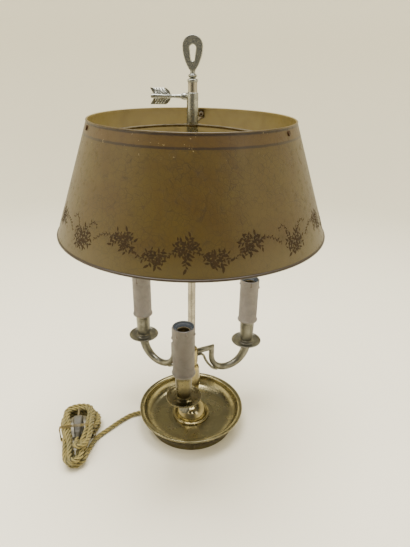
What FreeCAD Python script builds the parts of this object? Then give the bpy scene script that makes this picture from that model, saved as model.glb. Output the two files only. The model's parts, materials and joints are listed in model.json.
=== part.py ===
import FreeCAD, Part
import math
import os
import Sketcher
from FreeCAD import Placement, Rotation, Vector

# Bouillotte lamp: a brass dish on a weighted foot, a turned stem with three scroll arms and
# candle lights, a tall column, and a painted metal shade whose carrier slides on the column
# and is held by a thumb-screw shaped like an arrow's tail. Millimetres, +Z up, the origin on
# the table under the column's axis, and the front arm along -Y.

doc = FreeCAD.newDocument("bouillotte_lamp")

# Driving sizes, one cell each
SIZES = [
    ("felt_thickness", 1.5, "felt under the foot"),
    ("foot_radius", 65.0, "outside of the dish's foot"),
    ("foot_lift", 0.6, "the foot's edge stays this far above the table, on its felt"),
    ("dish_wall", 1.6, "spun brass"),
    ("floor_height", 12.0, "inside floor of the dish"),
    ("floor_radius", 56.0, "flat part of the dish's floor"),
    ("rim_radius", 79.2, "outside of the dish's rim"),
    ("rim_height", 30.0, "top of the dish's rim"),
    ("lip_width", 6.8, "flat lip round the dish"),
    ("foot_height", 13.0, "upright part of the foot"),
    ("rod_radius", 5.0, "threaded lamp pipe that ties the stand together"),
    ("rod_bore", 3.6, "inside radius of that pipe"),
    ("rod_bottom", 4.4, "lower end of the pipe, clear of the felt"),
    ("rod_top", 120.0, "upper end of the pipe, inside the arm hub"),
    ("turn_clearance", 0.3, "round the pipe in every turned piece it passes"),
    ("nut_height", 2.8, "thin lock nut under the weight"),
    ("nut_flats", 14.0, "across the lock nut's flats"),
    ("washer_height", 0.8, "washer over the lock nut"),
    ("recess_radius", 13.0, "recess in the weight for nut and wires"),
    ("cord_diameter", 5.4, "twisted silk-covered cord"),
    ("cord_exit_height", 6.0, "centre of the cord where it leaves the foot"),
    ("bushing_wall", 1.3, "wall of the cord's bushing"),
    ("bushing_flange", 1.5, "thickness of the bushing's flange"),
    ("dome_radius", 28.5, "ring at the bottom of the polished dome"),
    ("dome_top", 40.0, "top of the dome's neck"),
    ("baluster_radius", 12.3, "fullest part of the baluster"),
    ("baluster_top", 110.0, "seat of the arm hub"),
    ("hub_radius", 9.4, "outside of the arm hub"),
    ("hub_flat", 8.6, "flats that the arms are drawn against"),
    ("hub_top", 136.0, "top of the arm hub"),
    ("chamber_radius", 6.4, "hollow in the hub where the wires meet"),
    ("column_radius", 5.3, "outside of the column"),
    ("column_wall", 1.5, "wall of the column"),
    ("column_seat", 130.0, "bottom of the column in the hub"),
    ("column_top", 492.0, "top of the column"),
    ("arm_reach", 92.5, "column axis to candle axis"),
    ("arm_height", 126.0, "centre line of the arm's level bar"),
    ("scroll_fall", 27.0, "radius of the scroll's way down from the upright leg"),
    ("arm_low", 84.0, "lowest point of the scroll's centre line"),
    ("scroll_rise", 32.5, "radius of the scroll's way up to the light"),
    ("arm_bar", 7.5, "height of the bar and width of the leg"),
    ("arm_belly", 9.8, "depth of the scroll at its lowest point"),
    ("arm_end", 13.2, "diameter under the drip pan"),
    ("arm_top", 121.8, "seat of the drip pan on the arm"),
    ("strap_width", 3.6, "thickness of the lower strap"),
    ("wire_radius", 1.2, "flexible wires in the arms"),
    ("wire_room", 0.6, "air round the wires in the arms"),
    ("nipple_radius", 5.0, "hollow threaded nipple at each light"),
    ("nipple_bore", 3.6, "inside radius of the nipple"),
    ("nipple_depth", 9.0, "nipple in the arm"),
    ("thread_clearance", 0.08, "round each threaded nipple"),
    ("pan_radius", 22.6, "drip pan"),
    ("pan_wall", 1.2, "drip pan sheet"),
    ("cup_height", 36.0, "candle cup"),
    ("cup_foot", 9.3, "candle cup's foot radius"),
    ("cup_mouth", 11.2, "candle cup's mouth radius"),
    ("cup_wall", 1.2, "candle cup's wall"),
    ("seat_radius", 12.6, "disc between cup and candle sleeve"),
    ("seat_height", 1.0, "its thickness"),
    ("sleeve_radius", 13.6, "candle sleeve's outside"),
    ("sleeve_wall", 1.6, "candle sleeve's wall"),
    ("sleeve_height", 68.0, "candle sleeve"),
    ("drip_collar", 1.2, "how far the wax collar stands out at the sleeve's foot"),
    ("holder_clearance", 0.4, "lamp holder inside the sleeve"),
    ("holder_height", 36.0, "moulded body of the lamp holder"),
    ("holder_sink", 2.5, "holder's mouth below the sleeve's top"),
    ("holder_mouth", 9.2, "radius of the holder's open mouth"),
    ("shell_radius", 7.8, "outside of the small screw shell"),
    ("shell_wall", 0.6, "screw shell's wall"),
    ("shell_height", 19.0, "screw shell"),
    ("stem_wall", 1.4, "wall of the tube that carries the lamp holder"),
    ("carrier_radius", 6.6, "outside of the shade carrier's sleeve"),
    ("slide_clearance", 0.1, "carrier on the column"),
    ("carrier_bottom", 436.0, "carrier's lower end"),
    ("carrier_top", 481.2, "carrier's upper end"),
    ("boss_radius", 3.8, "boss for the thumb-screw"),
    ("boss_reach", 10.6, "boss face from the column's axis"),
    ("screw_height", 477.0, "axis of the thumb-screw"),
    ("screw_radius", 2.0, "thread of the thumb-screw"),
    ("screw_turn", 5.95, "the thumb-screw points this many degrees forward of -X"),
    ("screw_clearance", 0.06, "thread in the boss"),
    ("tail_length", 23.0, "length of the arrow's tail"),
    ("tail_height", 17.6, "height of the arrow's tail"),
    ("tail_thickness", 2.8, "thickness of the arrow's tail"),
    ("tail_start", 25.0, "where the tail begins, from the column's axis"),
    ("spider_height", 446.0, "mid height of the shade's spider"),
    ("spider_thickness", 2.2, "spider strip"),
    ("spider_width", 8.0, "spider strip"),
    ("spider_ring", 10.4, "outside of the ring round the carrier"),
    ("spider_drop", 5.0, "the strips arch down this far to the shade"),
    ("tab_height", 12.0, "turned-up end of each strip"),
    ("tab_gap", 0.2, "between a flat tab and the round shade"),
    ("shade_bottom_radius", 165.0, "shade, lower edge"),
    ("shade_top_radius", 120.4, "shade, upper edge"),
    ("shade_bottom", 323.6, "height of the lower edge"),
    ("shade_height", 129.9, "upright height of the shade"),
    ("shade_wall", 0.8, "sheet metal"),
    ("bead_radius", 1.5, "rolled bead at the lower edge"),
    ("top_bead_radius", 1.1, "rolled bead at the upper edge"),
    ("shade_screw_radius", 1.5, "screws through the shade"),
    ("shade_screw_drop", 5.6, "screws below the upper edge"),
    ("shade_screw_room", 0.2, "round the screws in shade and tabs"),
    ("ring_width", 22.5, "finial ring, outside"),
    ("ring_height", 35.0, "finial ring, neck to top"),
    ("ring_thickness", 6.0, "finial ring, front to back"),
    ("ring_hole_width", 7.3, "hole in the ring"),
    ("ring_hole_height", 16.8, "hole in the ring"),
    ("ring_hole_rise", 8.8, "bottom of the hole above the ring's neck"),
    ("finial_neck", 12.5, "from the column's top to where the ring grows out of its neck"),
]


class Size:
    """A length that keeps its number together with the sheet expression behind it."""

    def __init__(self, value, text):
        self.value = float(value)
        self.text = text

    def __float__(self):
        return self.value

    def __add__(self, other):
        return Size(self.value + float(other), "(%s + %s)" % (self.text, words(other)))

    def __radd__(self, other):
        return Size(float(other) + self.value, "(%s + %s)" % (words(other), self.text))

    def __sub__(self, other):
        return Size(self.value - float(other), "(%s - %s)" % (self.text, words(other)))

    def __rsub__(self, other):
        return Size(float(other) - self.value, "(%s - %s)" % (words(other), self.text))

    def __mul__(self, other):
        return Size(self.value * float(other), "(%s * %s)" % (self.text, words(other)))

    def __rmul__(self, other):
        return Size(float(other) * self.value, "(%s * %s)" % (words(other), self.text))

    def __truediv__(self, other):
        return Size(self.value / float(other), "(%s / %s)" % (self.text, words(other)))

    def __neg__(self):
        return Size(-self.value, "(0 - %s)" % self.text)


def words(length):
    """The text of a length inside an expression: a sheet reference or a plain number."""
    if isinstance(length, Size):
        return length.text
    return "%.6f" % float(length)


class Names:
    """Holds one Size for each cell of the sheet, as an attribute with the cell's alias."""


sheet = doc.addObject("Spreadsheet::Sheet", "Sizes")
dim = Names()
for row, (alias, number, meaning) in enumerate(SIZES, start=1):
    sheet.set("A%d" % row, alias)
    sheet.set("B%d" % row, str(number))
    sheet.set("C%d" % row, meaning)
    sheet.setAlias("B%d" % row, alias)
    setattr(dim, alias, Size(number, "Sizes." + alias))
doc.recompute()

UP = Vector(0, 0, 1)
ARM_ANGLES = {"front": 0.0, "right": 120.0, "left": -120.0}
SPIDER_ANGLES = (60.0, 180.0, 300.0)
subparts = []


def keep(thing, label):
    """Name a finished sub-part; its label is the name of its file."""
    thing.Label = label
    subparts.append(thing)
    return thing


def bind(thing, **lengths):
    """Give properties their numbers and, where a sheet cell is behind them, the expression."""
    for name, length in lengths.items():
        setattr(thing, name, float(length))
        if isinstance(length, Size):
            thing.setExpression(name, length.text)


def new_body(name):
    return doc.addObject("PartDesign::Body", name)


def plane_of(body, role):
    for feature in body.Origin.OriginFeatures:
        if feature.Role == role:
            return feature
    raise ValueError(role)


def arc_centre(start, end, radius):
    """Centre of the short arc from start to end; a positive radius turns left."""
    chord = end - start
    height = math.sqrt(max(radius * radius - chord.Length * chord.Length / 4, 0.0))
    left = Vector(-chord.y, chord.x, 0).normalize()
    side = 1.0 if radius > 0 else -1.0
    return (start + end) * 0.5 + left * (side * height)


def draw(body, name, role, moves, closed=True, offset=None):
    """Sketch an outline on one of the body's own planes.

    Each move is (x, y) for a straight line to that point or (x, y, radius) for an arc to it,
    where a positive radius turns left; a radius on the first move is for the closing arc.
    Every corner is held by its two distances from the origin, bound to the sheet.
    """
    sketch = body.newObject("Sketcher::SketchObject", name)
    sketch.AttachmentSupport = [(plane_of(body, role), "")]
    sketch.MapMode = "FlatFace"
    if offset is not None:
        sketch.AttachmentOffset = offset
    corners = [Vector(float(move[0]), float(move[1]), 0) for move in moves]
    count = len(moves) if closed else len(moves) - 1
    pieces = []
    ends = []
    radii = []
    for index in range(count):
        following = (index + 1) % len(moves)
        start = corners[index]
        end = corners[following]
        move = moves[following]
        if len(move) == 2:
            pieces.append(Part.LineSegment(start, end))
            ends.append(((index, 1), (index, 2)))
            continue
        radius = float(move[2])
        centre = arc_centre(start, end, radius)
        first, last = (start, end) if radius > 0 else (end, start)
        first_angle = math.atan2(first.y - centre.y, first.x - centre.x)
        last_angle = math.atan2(last.y - centre.y, last.x - centre.x)
        if last_angle < first_angle:
            last_angle += 2 * math.pi
        circle = Part.Circle(centre, UP, abs(radius))
        pieces.append(Part.ArcOfCircle(circle, first_angle, last_angle))
        ends.append(((index, 1), (index, 2)) if radius > 0 else ((index, 2), (index, 1)))
        radii.append((index, move[2]))
    sketch.addGeometry(pieces, False)
    rules = []
    bound = []
    for index in range(count - 1 if not closed else count):
        after = (index + 1) % count
        rules.append(Sketcher.Constraint("Coincident", *ends[index][1], *ends[after][0]))
    for index, move in enumerate(moves):
        place = ends[index][0] if index < count else ends[count - 1][1]
        for kind, axis, length in (("DistanceX", -2, move[0]), ("DistanceY", -1, move[1])):
            if abs(float(length)) < 1e-9:
                rules.append(Sketcher.Constraint("PointOnObject", *place, axis))
                continue
            rules.append(Sketcher.Constraint(kind, -1, 1, *place, float(length)))
            if isinstance(length, Size):
                bound.append((len(rules) - 1, length.text))
    for index, radius in radii:
        rules.append(Sketcher.Constraint("Radius", index, abs(float(radius))))
        if isinstance(radius, Size):
            sign = "" if float(radius) > 0 else "-"
            bound.append((len(rules) - 1, "%s%s" % (sign, radius.text)))
    sketch.addConstraint(rules)
    for index, text in bound:
        sketch.setExpression("Constraints[%d]" % index, text)
    return sketch


def circle_sketch(body, name, role, x, y, radius, offset=None):
    """Sketch one circle, with its centre and radius bound to the sheet."""
    sketch = body.newObject("Sketcher::SketchObject", name)
    sketch.AttachmentSupport = [(plane_of(body, role), "")]
    sketch.MapMode = "FlatFace"
    if offset is not None:
        sketch.AttachmentOffset = offset
    sketch.addGeometry(Part.Circle(Vector(float(x), float(y), 0), UP, float(radius)), False)
    rules = [("Radius", radius)]
    sketch.addConstraint(Sketcher.Constraint("Radius", 0, float(radius)))
    for kind, axis, length in (("DistanceX", -2, x), ("DistanceY", -1, y)):
        if abs(float(length)) < 1e-9:
            sketch.addConstraint(Sketcher.Constraint("PointOnObject", 0, 3, axis))
        else:
            sketch.addConstraint(Sketcher.Constraint(kind, -1, 1, 0, 3, float(length)))
        rules.append((kind, length))
    for index, (kind, length) in enumerate(rules):
        if isinstance(length, Size) and abs(float(length)) > 1e-9:
            sketch.setExpression("Constraints[%d]" % index, length.text)
    return sketch


def revolve(body, sketch, name="Turned"):
    """Turn a profile once round the body's upright axis."""
    feature = body.newObject("PartDesign::Revolution", name)
    feature.Profile = sketch
    feature.ReferenceAxis = (sketch, ["V_Axis"])
    feature.Angle = 360.0
    body.Tip = feature
    return feature


def turned(label, profile):
    """A piece turned on a lathe, from its half profile of radius and height."""
    body = new_body(label)
    revolve(body, draw(body, "Profile", "XZ_Plane", profile))
    return keep(body, label)


def pad(body, sketch, length, name="Pad", both_ways=False, reverse=False):
    feature = body.newObject("PartDesign::Pad", name)
    feature.Profile = sketch
    bind(feature, Length=length)
    feature.Midplane = both_ways
    feature.Reversed = reverse
    body.Tip = feature
    return feature


def pocket(body, sketch, length, name="Pocket", both_ways=False, reverse=False):
    """Cut a sketch into the body, and make sure that it took something away."""
    doc.recompute()
    before = body.Shape.Volume
    feature = body.newObject("PartDesign::Pocket", name)
    feature.Profile = sketch
    bind(feature, Length=length)
    feature.Midplane = both_ways
    feature.Reversed = reverse
    body.Tip = feature
    doc.recompute()
    if body.Shape.Volume > before - 1e-3:
        raise RuntimeError("%s: %s cut nothing" % (body.Name, name))
    return feature


def polar(body, feature, copies, name="Round"):
    """Repeat a feature round the upright axis of the body."""
    pattern = body.newObject("PartDesign::PolarPattern", name)
    pattern.Originals = [feature]
    pattern.Axis = (plane_of(body, "Z_Axis"), [""])
    pattern.Angle = 360.0
    pattern.Occurrences = copies
    body.Tip = pattern
    return pattern


def loft(body, sections, name, ruled=False):
    feature = body.newObject("PartDesign::AdditiveLoft", name)
    feature.Profile = sections[0]
    feature.Sections = sections[1:]
    feature.Ruled = ruled
    body.Tip = feature
    return feature


def tube(label, inner, outer, bottom, top):
    """A plain length of tube on the upright axis."""
    return turned(label, [(inner, bottom), (outer, bottom), (outer, top), (inner, top)])


def stand_at(thing, angle, reach):
    """Move a piece out to the light at this angle; angles run from -Y towards +X."""
    turn = math.radians(angle)
    away = Vector(float(reach) * math.sin(turn), -float(reach) * math.cos(turn), 0)
    thing.Placement = Placement(away, Rotation(UP, angle - 90.0))
    thing.setExpression("Placement.Base.x", "%s * %.9f" % (reach.text, math.sin(turn)))
    thing.setExpression("Placement.Base.y", "%s * %.9f" % (reach.text, -math.cos(turn)))
    return thing


def primitive(kind, name, placement=None, **lengths):
    """A Part primitive whose sizes are bound to the sheet."""
    thing = doc.addObject("Part::" + kind, name)
    bind(thing, **lengths)
    if placement is not None:
        thing.Placement = placement
    return thing


def cut(base, tools, name):
    """Base less the tools, each of which has to overlap it."""
    fused = tools[0]
    if len(tools) > 1:
        fused = doc.addObject("Part::MultiFuse", name + "_tools")
        fused.Shapes = tools
    result = doc.addObject("Part::Cut", name)
    result.Base = base
    result.Tool = fused
    doc.recompute()
    if result.Shape.Volume > base.Shape.Volume - 1e-3:
        raise RuntimeError("%s cut nothing" % name)
    return result


def group(shapes, name, label):
    """Loose identical fasteners, kept together as one sub-part of separate solids."""
    thing = doc.addObject("Part::Compound", name)
    thing.Links = shapes
    return keep(thing, label)


# The dish: one spun brass shell, from the flat floor up the cove to the lip, and down to the foot
floor_under = dim.floor_height - dim.dish_wall
rod_hole = dim.rod_radius + dim.turn_clearance
lip_inner = dim.rim_radius - dim.lip_width
lip_edge = 1.5
lip_fall = 1.0
cove_radius = 16.6
bowl_radius = 19.0
foot_inner = dim.foot_radius - dim.dish_wall

dish_shell = new_body("DishShell")
revolve(dish_shell, draw(dish_shell, "Profile", "XZ_Plane", [
    (rod_hole, dim.floor_height),
    (rod_hole, floor_under),
    (foot_inner, floor_under),
    (foot_inner, dim.foot_lift),
    (dim.foot_radius, dim.foot_lift),
    (dim.foot_radius, dim.foot_height),
    (lip_inner + 1.4, dim.rim_height - 2 * lip_edge, bowl_radius),
    (dim.rim_radius - lip_edge, dim.rim_height - 2 * lip_edge),
    (dim.rim_radius, dim.rim_height - lip_edge, lip_edge),
    (dim.rim_radius - lip_edge, dim.rim_height, lip_edge),
    (lip_inner, dim.rim_height - lip_fall),
    (dim.floor_radius, dim.floor_height, -cove_radius),
]))
bushing_radius = dim.cord_diameter / 2 + dim.bushing_wall
hole_sketch = circle_sketch(dish_shell, "CordHole", "YZ_Plane", 0, dim.cord_exit_height,
                            bushing_radius + 0.1)
pocket(dish_shell, hole_sketch, dim.foot_radius + 5, "CordHolePocket")
keep(dish_shell, "dish_base")

# The weight in the foot, with a recess for the nut and a slot for the cord
recess_top = dim.rod_bottom + dim.nut_height + dim.washer_height
weight_radius = foot_inner - 0.3
weight = new_body("Weight")
revolve(weight, draw(weight, "Profile", "XZ_Plane", [
    (rod_hole, recess_top),
    (dim.recess_radius, recess_top),
    (dim.recess_radius, dim.felt_thickness),
    (weight_radius, dim.felt_thickness),
    (weight_radius, floor_under),
    (rod_hole, floor_under),
]))
slot_half = bushing_radius + 0.3
slot_sketch = draw(weight, "CordSlot", "XY_Plane", [
    (-dim.foot_radius, -slot_half),
    (-dim.rod_radius - 4, -slot_half),
    (-dim.rod_radius - 4, slot_half),
    (-dim.foot_radius, slot_half),
])
pocket(weight, slot_sketch, 2 * dim.floor_height, "CordSlotPocket", both_ways=True)
keep(weight, "base_weight")

felt = new_body("Felt")
pad(felt, circle_sketch(felt, "Disc", "XY_Plane", 0, 0, foot_inner - 0.2), dim.felt_thickness)
keep(felt, "felt_pad")

# Bushing in the foot's wall, lying along -X
bushing_flange_radius = bushing_radius + 1.2
bushing = new_body("Bushing")
revolve(bushing, draw(bushing, "Profile", "XZ_Plane", [
    (dim.cord_diameter / 2 + 0.1, -3.2),
    (bushing_radius, -3.2),
    (bushing_radius, 0),
    (bushing_flange_radius, 0),
    (bushing_flange_radius, dim.bushing_flange * 0.5),
    (bushing_radius, dim.bushing_flange, 1.4),
    (dim.cord_diameter / 2 + 0.1, dim.bushing_flange),
]))
bushing.Placement = Placement(Vector(-float(dim.foot_radius), 0, float(dim.cord_exit_height)),
                              Rotation(Vector(0, 1, 0), -90))
bushing.setExpression("Placement.Base.x", "-" + dim.foot_radius.text)
bushing.setExpression("Placement.Base.z", dim.cord_exit_height.text)
keep(bushing, "cord_bushing")

# Threaded pipe, washer and lock nut that draw the whole stand together
tube("threaded_rod", dim.rod_bore, dim.rod_radius, dim.rod_bottom, dim.rod_top)
tube("base_washer", dim.rod_radius + 0.1, dim.rod_radius + 5,
     dim.rod_bottom + dim.nut_height, recess_top)


def hexagon(flats):
    """Corners of a hexagon, from its size across flats."""
    reach = flats / math.sqrt(3)
    return [(reach * math.cos(math.radians(60 * step)), reach * math.sin(math.radians(60 * step)))
            for step in range(6)]


lock_nut = new_body("LockNut")
nut_base = Placement(Vector(0, 0, float(dim.rod_bottom)), Rotation())
pad(lock_nut, draw(lock_nut, "Hexagon", "XY_Plane", hexagon(dim.nut_flats), offset=nut_base),
    dim.nut_height)
pocket(lock_nut, circle_sketch(lock_nut, "Thread", "XY_Plane", 0, 0,
                               dim.rod_radius + dim.thread_clearance),
       4 * dim.rod_bottom, "ThreadHole", both_ways=True)
keep(lock_nut, "lock_nut")

# Turned stem: polished dome on the dish's floor, baluster, and the hub that holds the arms
neck = dim.rod_radius + 2.4
turned("stem_dome", [
    (rod_hole, dim.floor_height),
    (dim.dome_radius, dim.floor_height),
    (dim.dome_radius, dim.floor_height + 1.6),
    (dim.dome_radius - 1.6, dim.floor_height + 3.2, 1.6),
    (dim.dome_radius - 2.6, dim.floor_height + 3.2),
    (neck + 2.2, dim.dome_top - 7, 24.0),
    (neck, dim.dome_top - 4, -4.0),
    (neck + 1.6, dim.dome_top - 2, 2.2),
    (neck + 0.4, dim.dome_top, 2.2),
    (rod_hole, dim.dome_top),
])
turned("stem_baluster", [
    (rod_hole, dim.dome_top),
    (neck + 1.4, dim.dome_top),
    (neck + 1.4, dim.dome_top + 2.4, 1.6),
    (neck - 0.4, dim.dome_top + 4.4, -2.6),
    (neck + 0.6, dim.dome_top + 7),
    (dim.baluster_radius, dim.dome_top + 30, 90.0),
    (dim.baluster_radius - 0.6, dim.baluster_top - 12, 150.0),
    (neck, dim.baluster_top - 3.4, 9.0),
    (neck + 1.4, dim.baluster_top - 1.7, 1.8),
    (neck + 1.4, dim.baluster_top),
    (rod_hole, dim.baluster_top),
])
arm_hub = new_body("ArmHub")
chamber_bottom = dim.rod_top - 2.0
column_socket = dim.column_radius + 0.06
revolve(arm_hub, draw(arm_hub, "Profile", "XZ_Plane", [
    (rod_hole, dim.baluster_top),
    (dim.hub_radius - 1, dim.baluster_top),
    (dim.hub_radius, dim.baluster_top + 1, 1.0),
    (dim.hub_radius, dim.hub_top - 4),
    (column_socket + 1.4, dim.hub_top - 1.2, 4.4),
    (column_socket + 1.4, dim.hub_top),
    (column_socket, dim.hub_top),
    (column_socket, dim.column_seat),
    (dim.chamber_radius, dim.column_seat - 1.2),
    (dim.chamber_radius, chamber_bottom),
    (rod_hole, chamber_bottom),
]))
tenon_radius = dim.wire_radius + dim.wire_room + 1.2
flat_low = dim.arm_height - 12
flat_high = dim.arm_height + 5
flat_sketch = draw(arm_hub, "Flat", "XZ_Plane", [
    (dim.hub_flat, flat_low),
    (dim.hub_radius + 3, flat_low),
    (dim.hub_radius + 3, flat_high),
    (dim.hub_flat, flat_high),
])
flat = pocket(arm_hub, flat_sketch, 3 * dim.hub_radius, "FlatPocket", both_ways=True)
polar(arm_hub, flat, 3, "Flats")
socket_sketch = circle_sketch(arm_hub, "TenonHole", "YZ_Plane", 0, dim.arm_height,
                              tenon_radius + 0.06)
socket = pocket(arm_hub, socket_sketch, dim.hub_radius + 1, "TenonPocket", reverse=True)
polar(arm_hub, socket, 3, "TenonHoles")
arm_hub.Placement = Placement(Vector(), Rotation(UP, -90.0))
keep(arm_hub, "arm_hub")

tube("column", dim.column_radius - dim.column_wall, dim.column_radius,
     dim.column_seat, dim.column_top)


# The scroll arms. Each is one hollow casting: a level bar, an upright leg, a scroll that
# swings down and out and up again while it thickens, a strap under it, and a round end.
low_reach = dim.arm_reach - dim.scroll_rise
corner_reach = low_reach - dim.scroll_fall
leg_low = dim.arm_low + dim.scroll_fall
end_low = dim.arm_low + dim.scroll_rise


def section(body, name, reach, height, lean, depth, across):
    """An eight-sided section of the arm, square to the way the arm runs there."""
    half = float(depth) / 2
    side = float(across) / 2
    cant = 0.46
    corners = [(half, side * cant), (half * cant, side), (-half * cant, side), (-half, side * cant),
               (-half, -side * cant), (-half * cant, -side), (half * cant, -side),
               (half, -side * cant)]
    offset = Placement(Vector(float(reach), 0, float(height)), Rotation(Vector(0, 1, 0), lean))
    return draw(body, name, "XY_Plane", corners, offset=offset)


def scroll_arm(name, angle):
    body = new_body("Arm" + name.title())
    mitre = float(dim.arm_bar) * math.sqrt(2)
    bar_across = dim.arm_bar * 0.95
    bar = [section(body, "BarRoot", dim.hub_flat, dim.arm_height, 90, dim.arm_bar, bar_across),
           section(body, "BarCorner", corner_reach, dim.arm_height, 135, mitre, bar_across),
           section(body, "LegTop", corner_reach, leg_low, 180, dim.arm_bar, bar_across)]
    loft(body, bar, "Bar", ruled=True)
    steps = 4
    sections = []
    for step in range(steps + 1):
        share = step / steps
        turn = math.radians(90 * share)
        sections.append(section(
            body, "Fall%d" % step,
            float(low_reach) - float(dim.scroll_fall) * math.cos(turn),
            float(leg_low) - float(dim.scroll_fall) * math.sin(turn),
            180 - 90 * share,
            float(dim.arm_bar) + (float(dim.arm_belly) - float(dim.arm_bar)) * share,
            float(bar_across) + (float(dim.arm_belly) - float(bar_across)) * share))
    for step in range(1, steps + 1):
        share = step / steps
        turn = math.radians(90 * share)
        size = float(dim.arm_belly) + (float(dim.arm_end) - float(dim.arm_belly)) * share
        sections.append(section(
            body, "Rise%d" % step,
            float(low_reach) + float(dim.scroll_rise) * math.sin(turn),
            float(end_low) - float(dim.scroll_rise) * math.cos(turn),
            90 - 90 * share, size, size))
    loft(body, sections, "Scroll")
    end_place = Placement(Vector(0, 0, float(end_low) - 1), Rotation())
    pad(body, circle_sketch(body, "End", "XY_Plane", dim.arm_reach, 0, dim.arm_end / 2,
                            offset=end_place), dim.arm_top - end_low + 1, "EndPad")
    # The strap leaves the hub under the bar and joins the scroll near its lowest point
    strap_start = dim.arm_height - dim.arm_bar / 2 - dim.strap_width / 2 - 0.9
    strap_path = draw(body, "StrapPath", "XZ_Plane", [
        (dim.hub_flat, strap_start),
        (corner_reach / 2 - 2, strap_start - 0.4),
        (corner_reach / 2 + 4.5, strap_start - 7, -9.0),
        (corner_reach - 2, dim.arm_low + 9.6, 60.0),
        (corner_reach + 10, dim.arm_low - 0.2, 22.0),
    ], closed=False)
    strap_half = dim.strap_width / 2
    strap_place = Placement(Vector(float(dim.hub_flat), 0, float(strap_start)),
                            Rotation(Vector(0, 1, 0), 90))
    strap_section = draw(body, "StrapSection", "XY_Plane", [
        (strap_half, -strap_half * 0.6), (strap_half, strap_half * 0.6),
        (strap_half * 0.5, strap_half * 1.3), (-strap_half * 0.5, strap_half * 1.3),
        (-strap_half, strap_half * 0.6), (-strap_half, -strap_half * 0.6),
        (-strap_half * 0.5, -strap_half * 1.3), (strap_half * 0.5, -strap_half * 1.3),
    ], offset=strap_place)
    strap = body.newObject("PartDesign::AdditivePipe", "Strap")
    strap.Profile = strap_section
    strap.Spine = strap_path
    body.Tip = strap
    # Tenon into the hub, thread for the nipple, and the channel for the wires
    tenon_place = Placement(Vector(float(dim.hub_flat) - 2, 0, float(dim.arm_height)),
                            Rotation(Vector(0, 1, 0), 90))
    pad(body, circle_sketch(body, "Tenon", "XY_Plane", 0, 0, tenon_radius, offset=tenon_place),
        2.5, "TenonPad")
    thread_place = Placement(Vector(0, 0, float(dim.arm_top)), Rotation())
    pocket(body, circle_sketch(body, "Thread", "XY_Plane", dim.arm_reach, 0,
                               dim.nipple_radius + dim.thread_clearance, offset=thread_place),
           dim.nipple_depth + 0.5, "ThreadHole")
    channel = wire_route(body, "Channel", dim.hub_flat - 3, dim.arm_top - dim.nipple_depth + 1)
    channel_place = Placement(Vector(float(dim.hub_flat) - 3, 0, float(dim.arm_height)),
                              Rotation(Vector(0, 1, 0), 90))
    bore = body.newObject("PartDesign::SubtractivePipe", "WireChannel")
    bore.Profile = circle_sketch(body, "ChannelSection", "XY_Plane", 0, 0,
                                 dim.wire_radius + dim.wire_room, offset=channel_place)
    bore.Spine = channel
    body.Tip = bore
    body.Placement = Placement(Vector(), Rotation(UP, angle - 90.0))
    return keep(body, "arm_" + name)


def wire_route(body, name, start, finish):
    """The arm's centre line, from a point at the hub to a height under the light."""
    bend = 5.0
    return draw(body, name, "XZ_Plane", [
        (start, dim.arm_height),
        (corner_reach - bend, dim.arm_height),
        (corner_reach, dim.arm_height - bend, -bend),
        (corner_reach, leg_low),
        (low_reach, dim.arm_low, dim.scroll_fall),
        (dim.arm_reach, end_low, dim.scroll_rise),
        (dim.arm_reach, finish),
    ], closed=False)


for arm_name, arm_angle in ARM_ANGLES.items():
    scroll_arm(arm_name, arm_angle)
    doc.recompute()

# One flexible lead in each arm, from the hub's hollow to the lamp holder
pan_top = dim.arm_top + dim.pan_wall
cup_top = pan_top + dim.cup_height
seat_top = cup_top + dim.seat_height
holder_top = seat_top + dim.sleeve_height - dim.holder_sink
holder_bottom = holder_top - dim.holder_height
lead_end = holder_bottom - 0.4
leads = []
for arm_name, arm_angle in ARM_ANGLES.items():
    lead = new_body("Lead" + arm_name.title())
    lead_start = dim.wire_radius * 2
    path = wire_route(lead, "Path", lead_start, lead_end)
    place = Placement(Vector(float(lead_start), 0, float(dim.arm_height)),
                      Rotation(Vector(0, 1, 0), 90))
    lead_pipe = lead.newObject("PartDesign::AdditivePipe", "Pipe")
    lead_pipe.Profile = circle_sketch(lead, "Section", "XY_Plane", 0, 0, dim.wire_radius,
                                      offset=place)
    lead_pipe.Spine = path
    lead.Tip = lead_pipe
    lead.Placement = Placement(Vector(), Rotation(UP, arm_angle - 90.0))
    leads.append(lead)
group(leads, "ArmLeads", "arm_leads")

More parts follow.
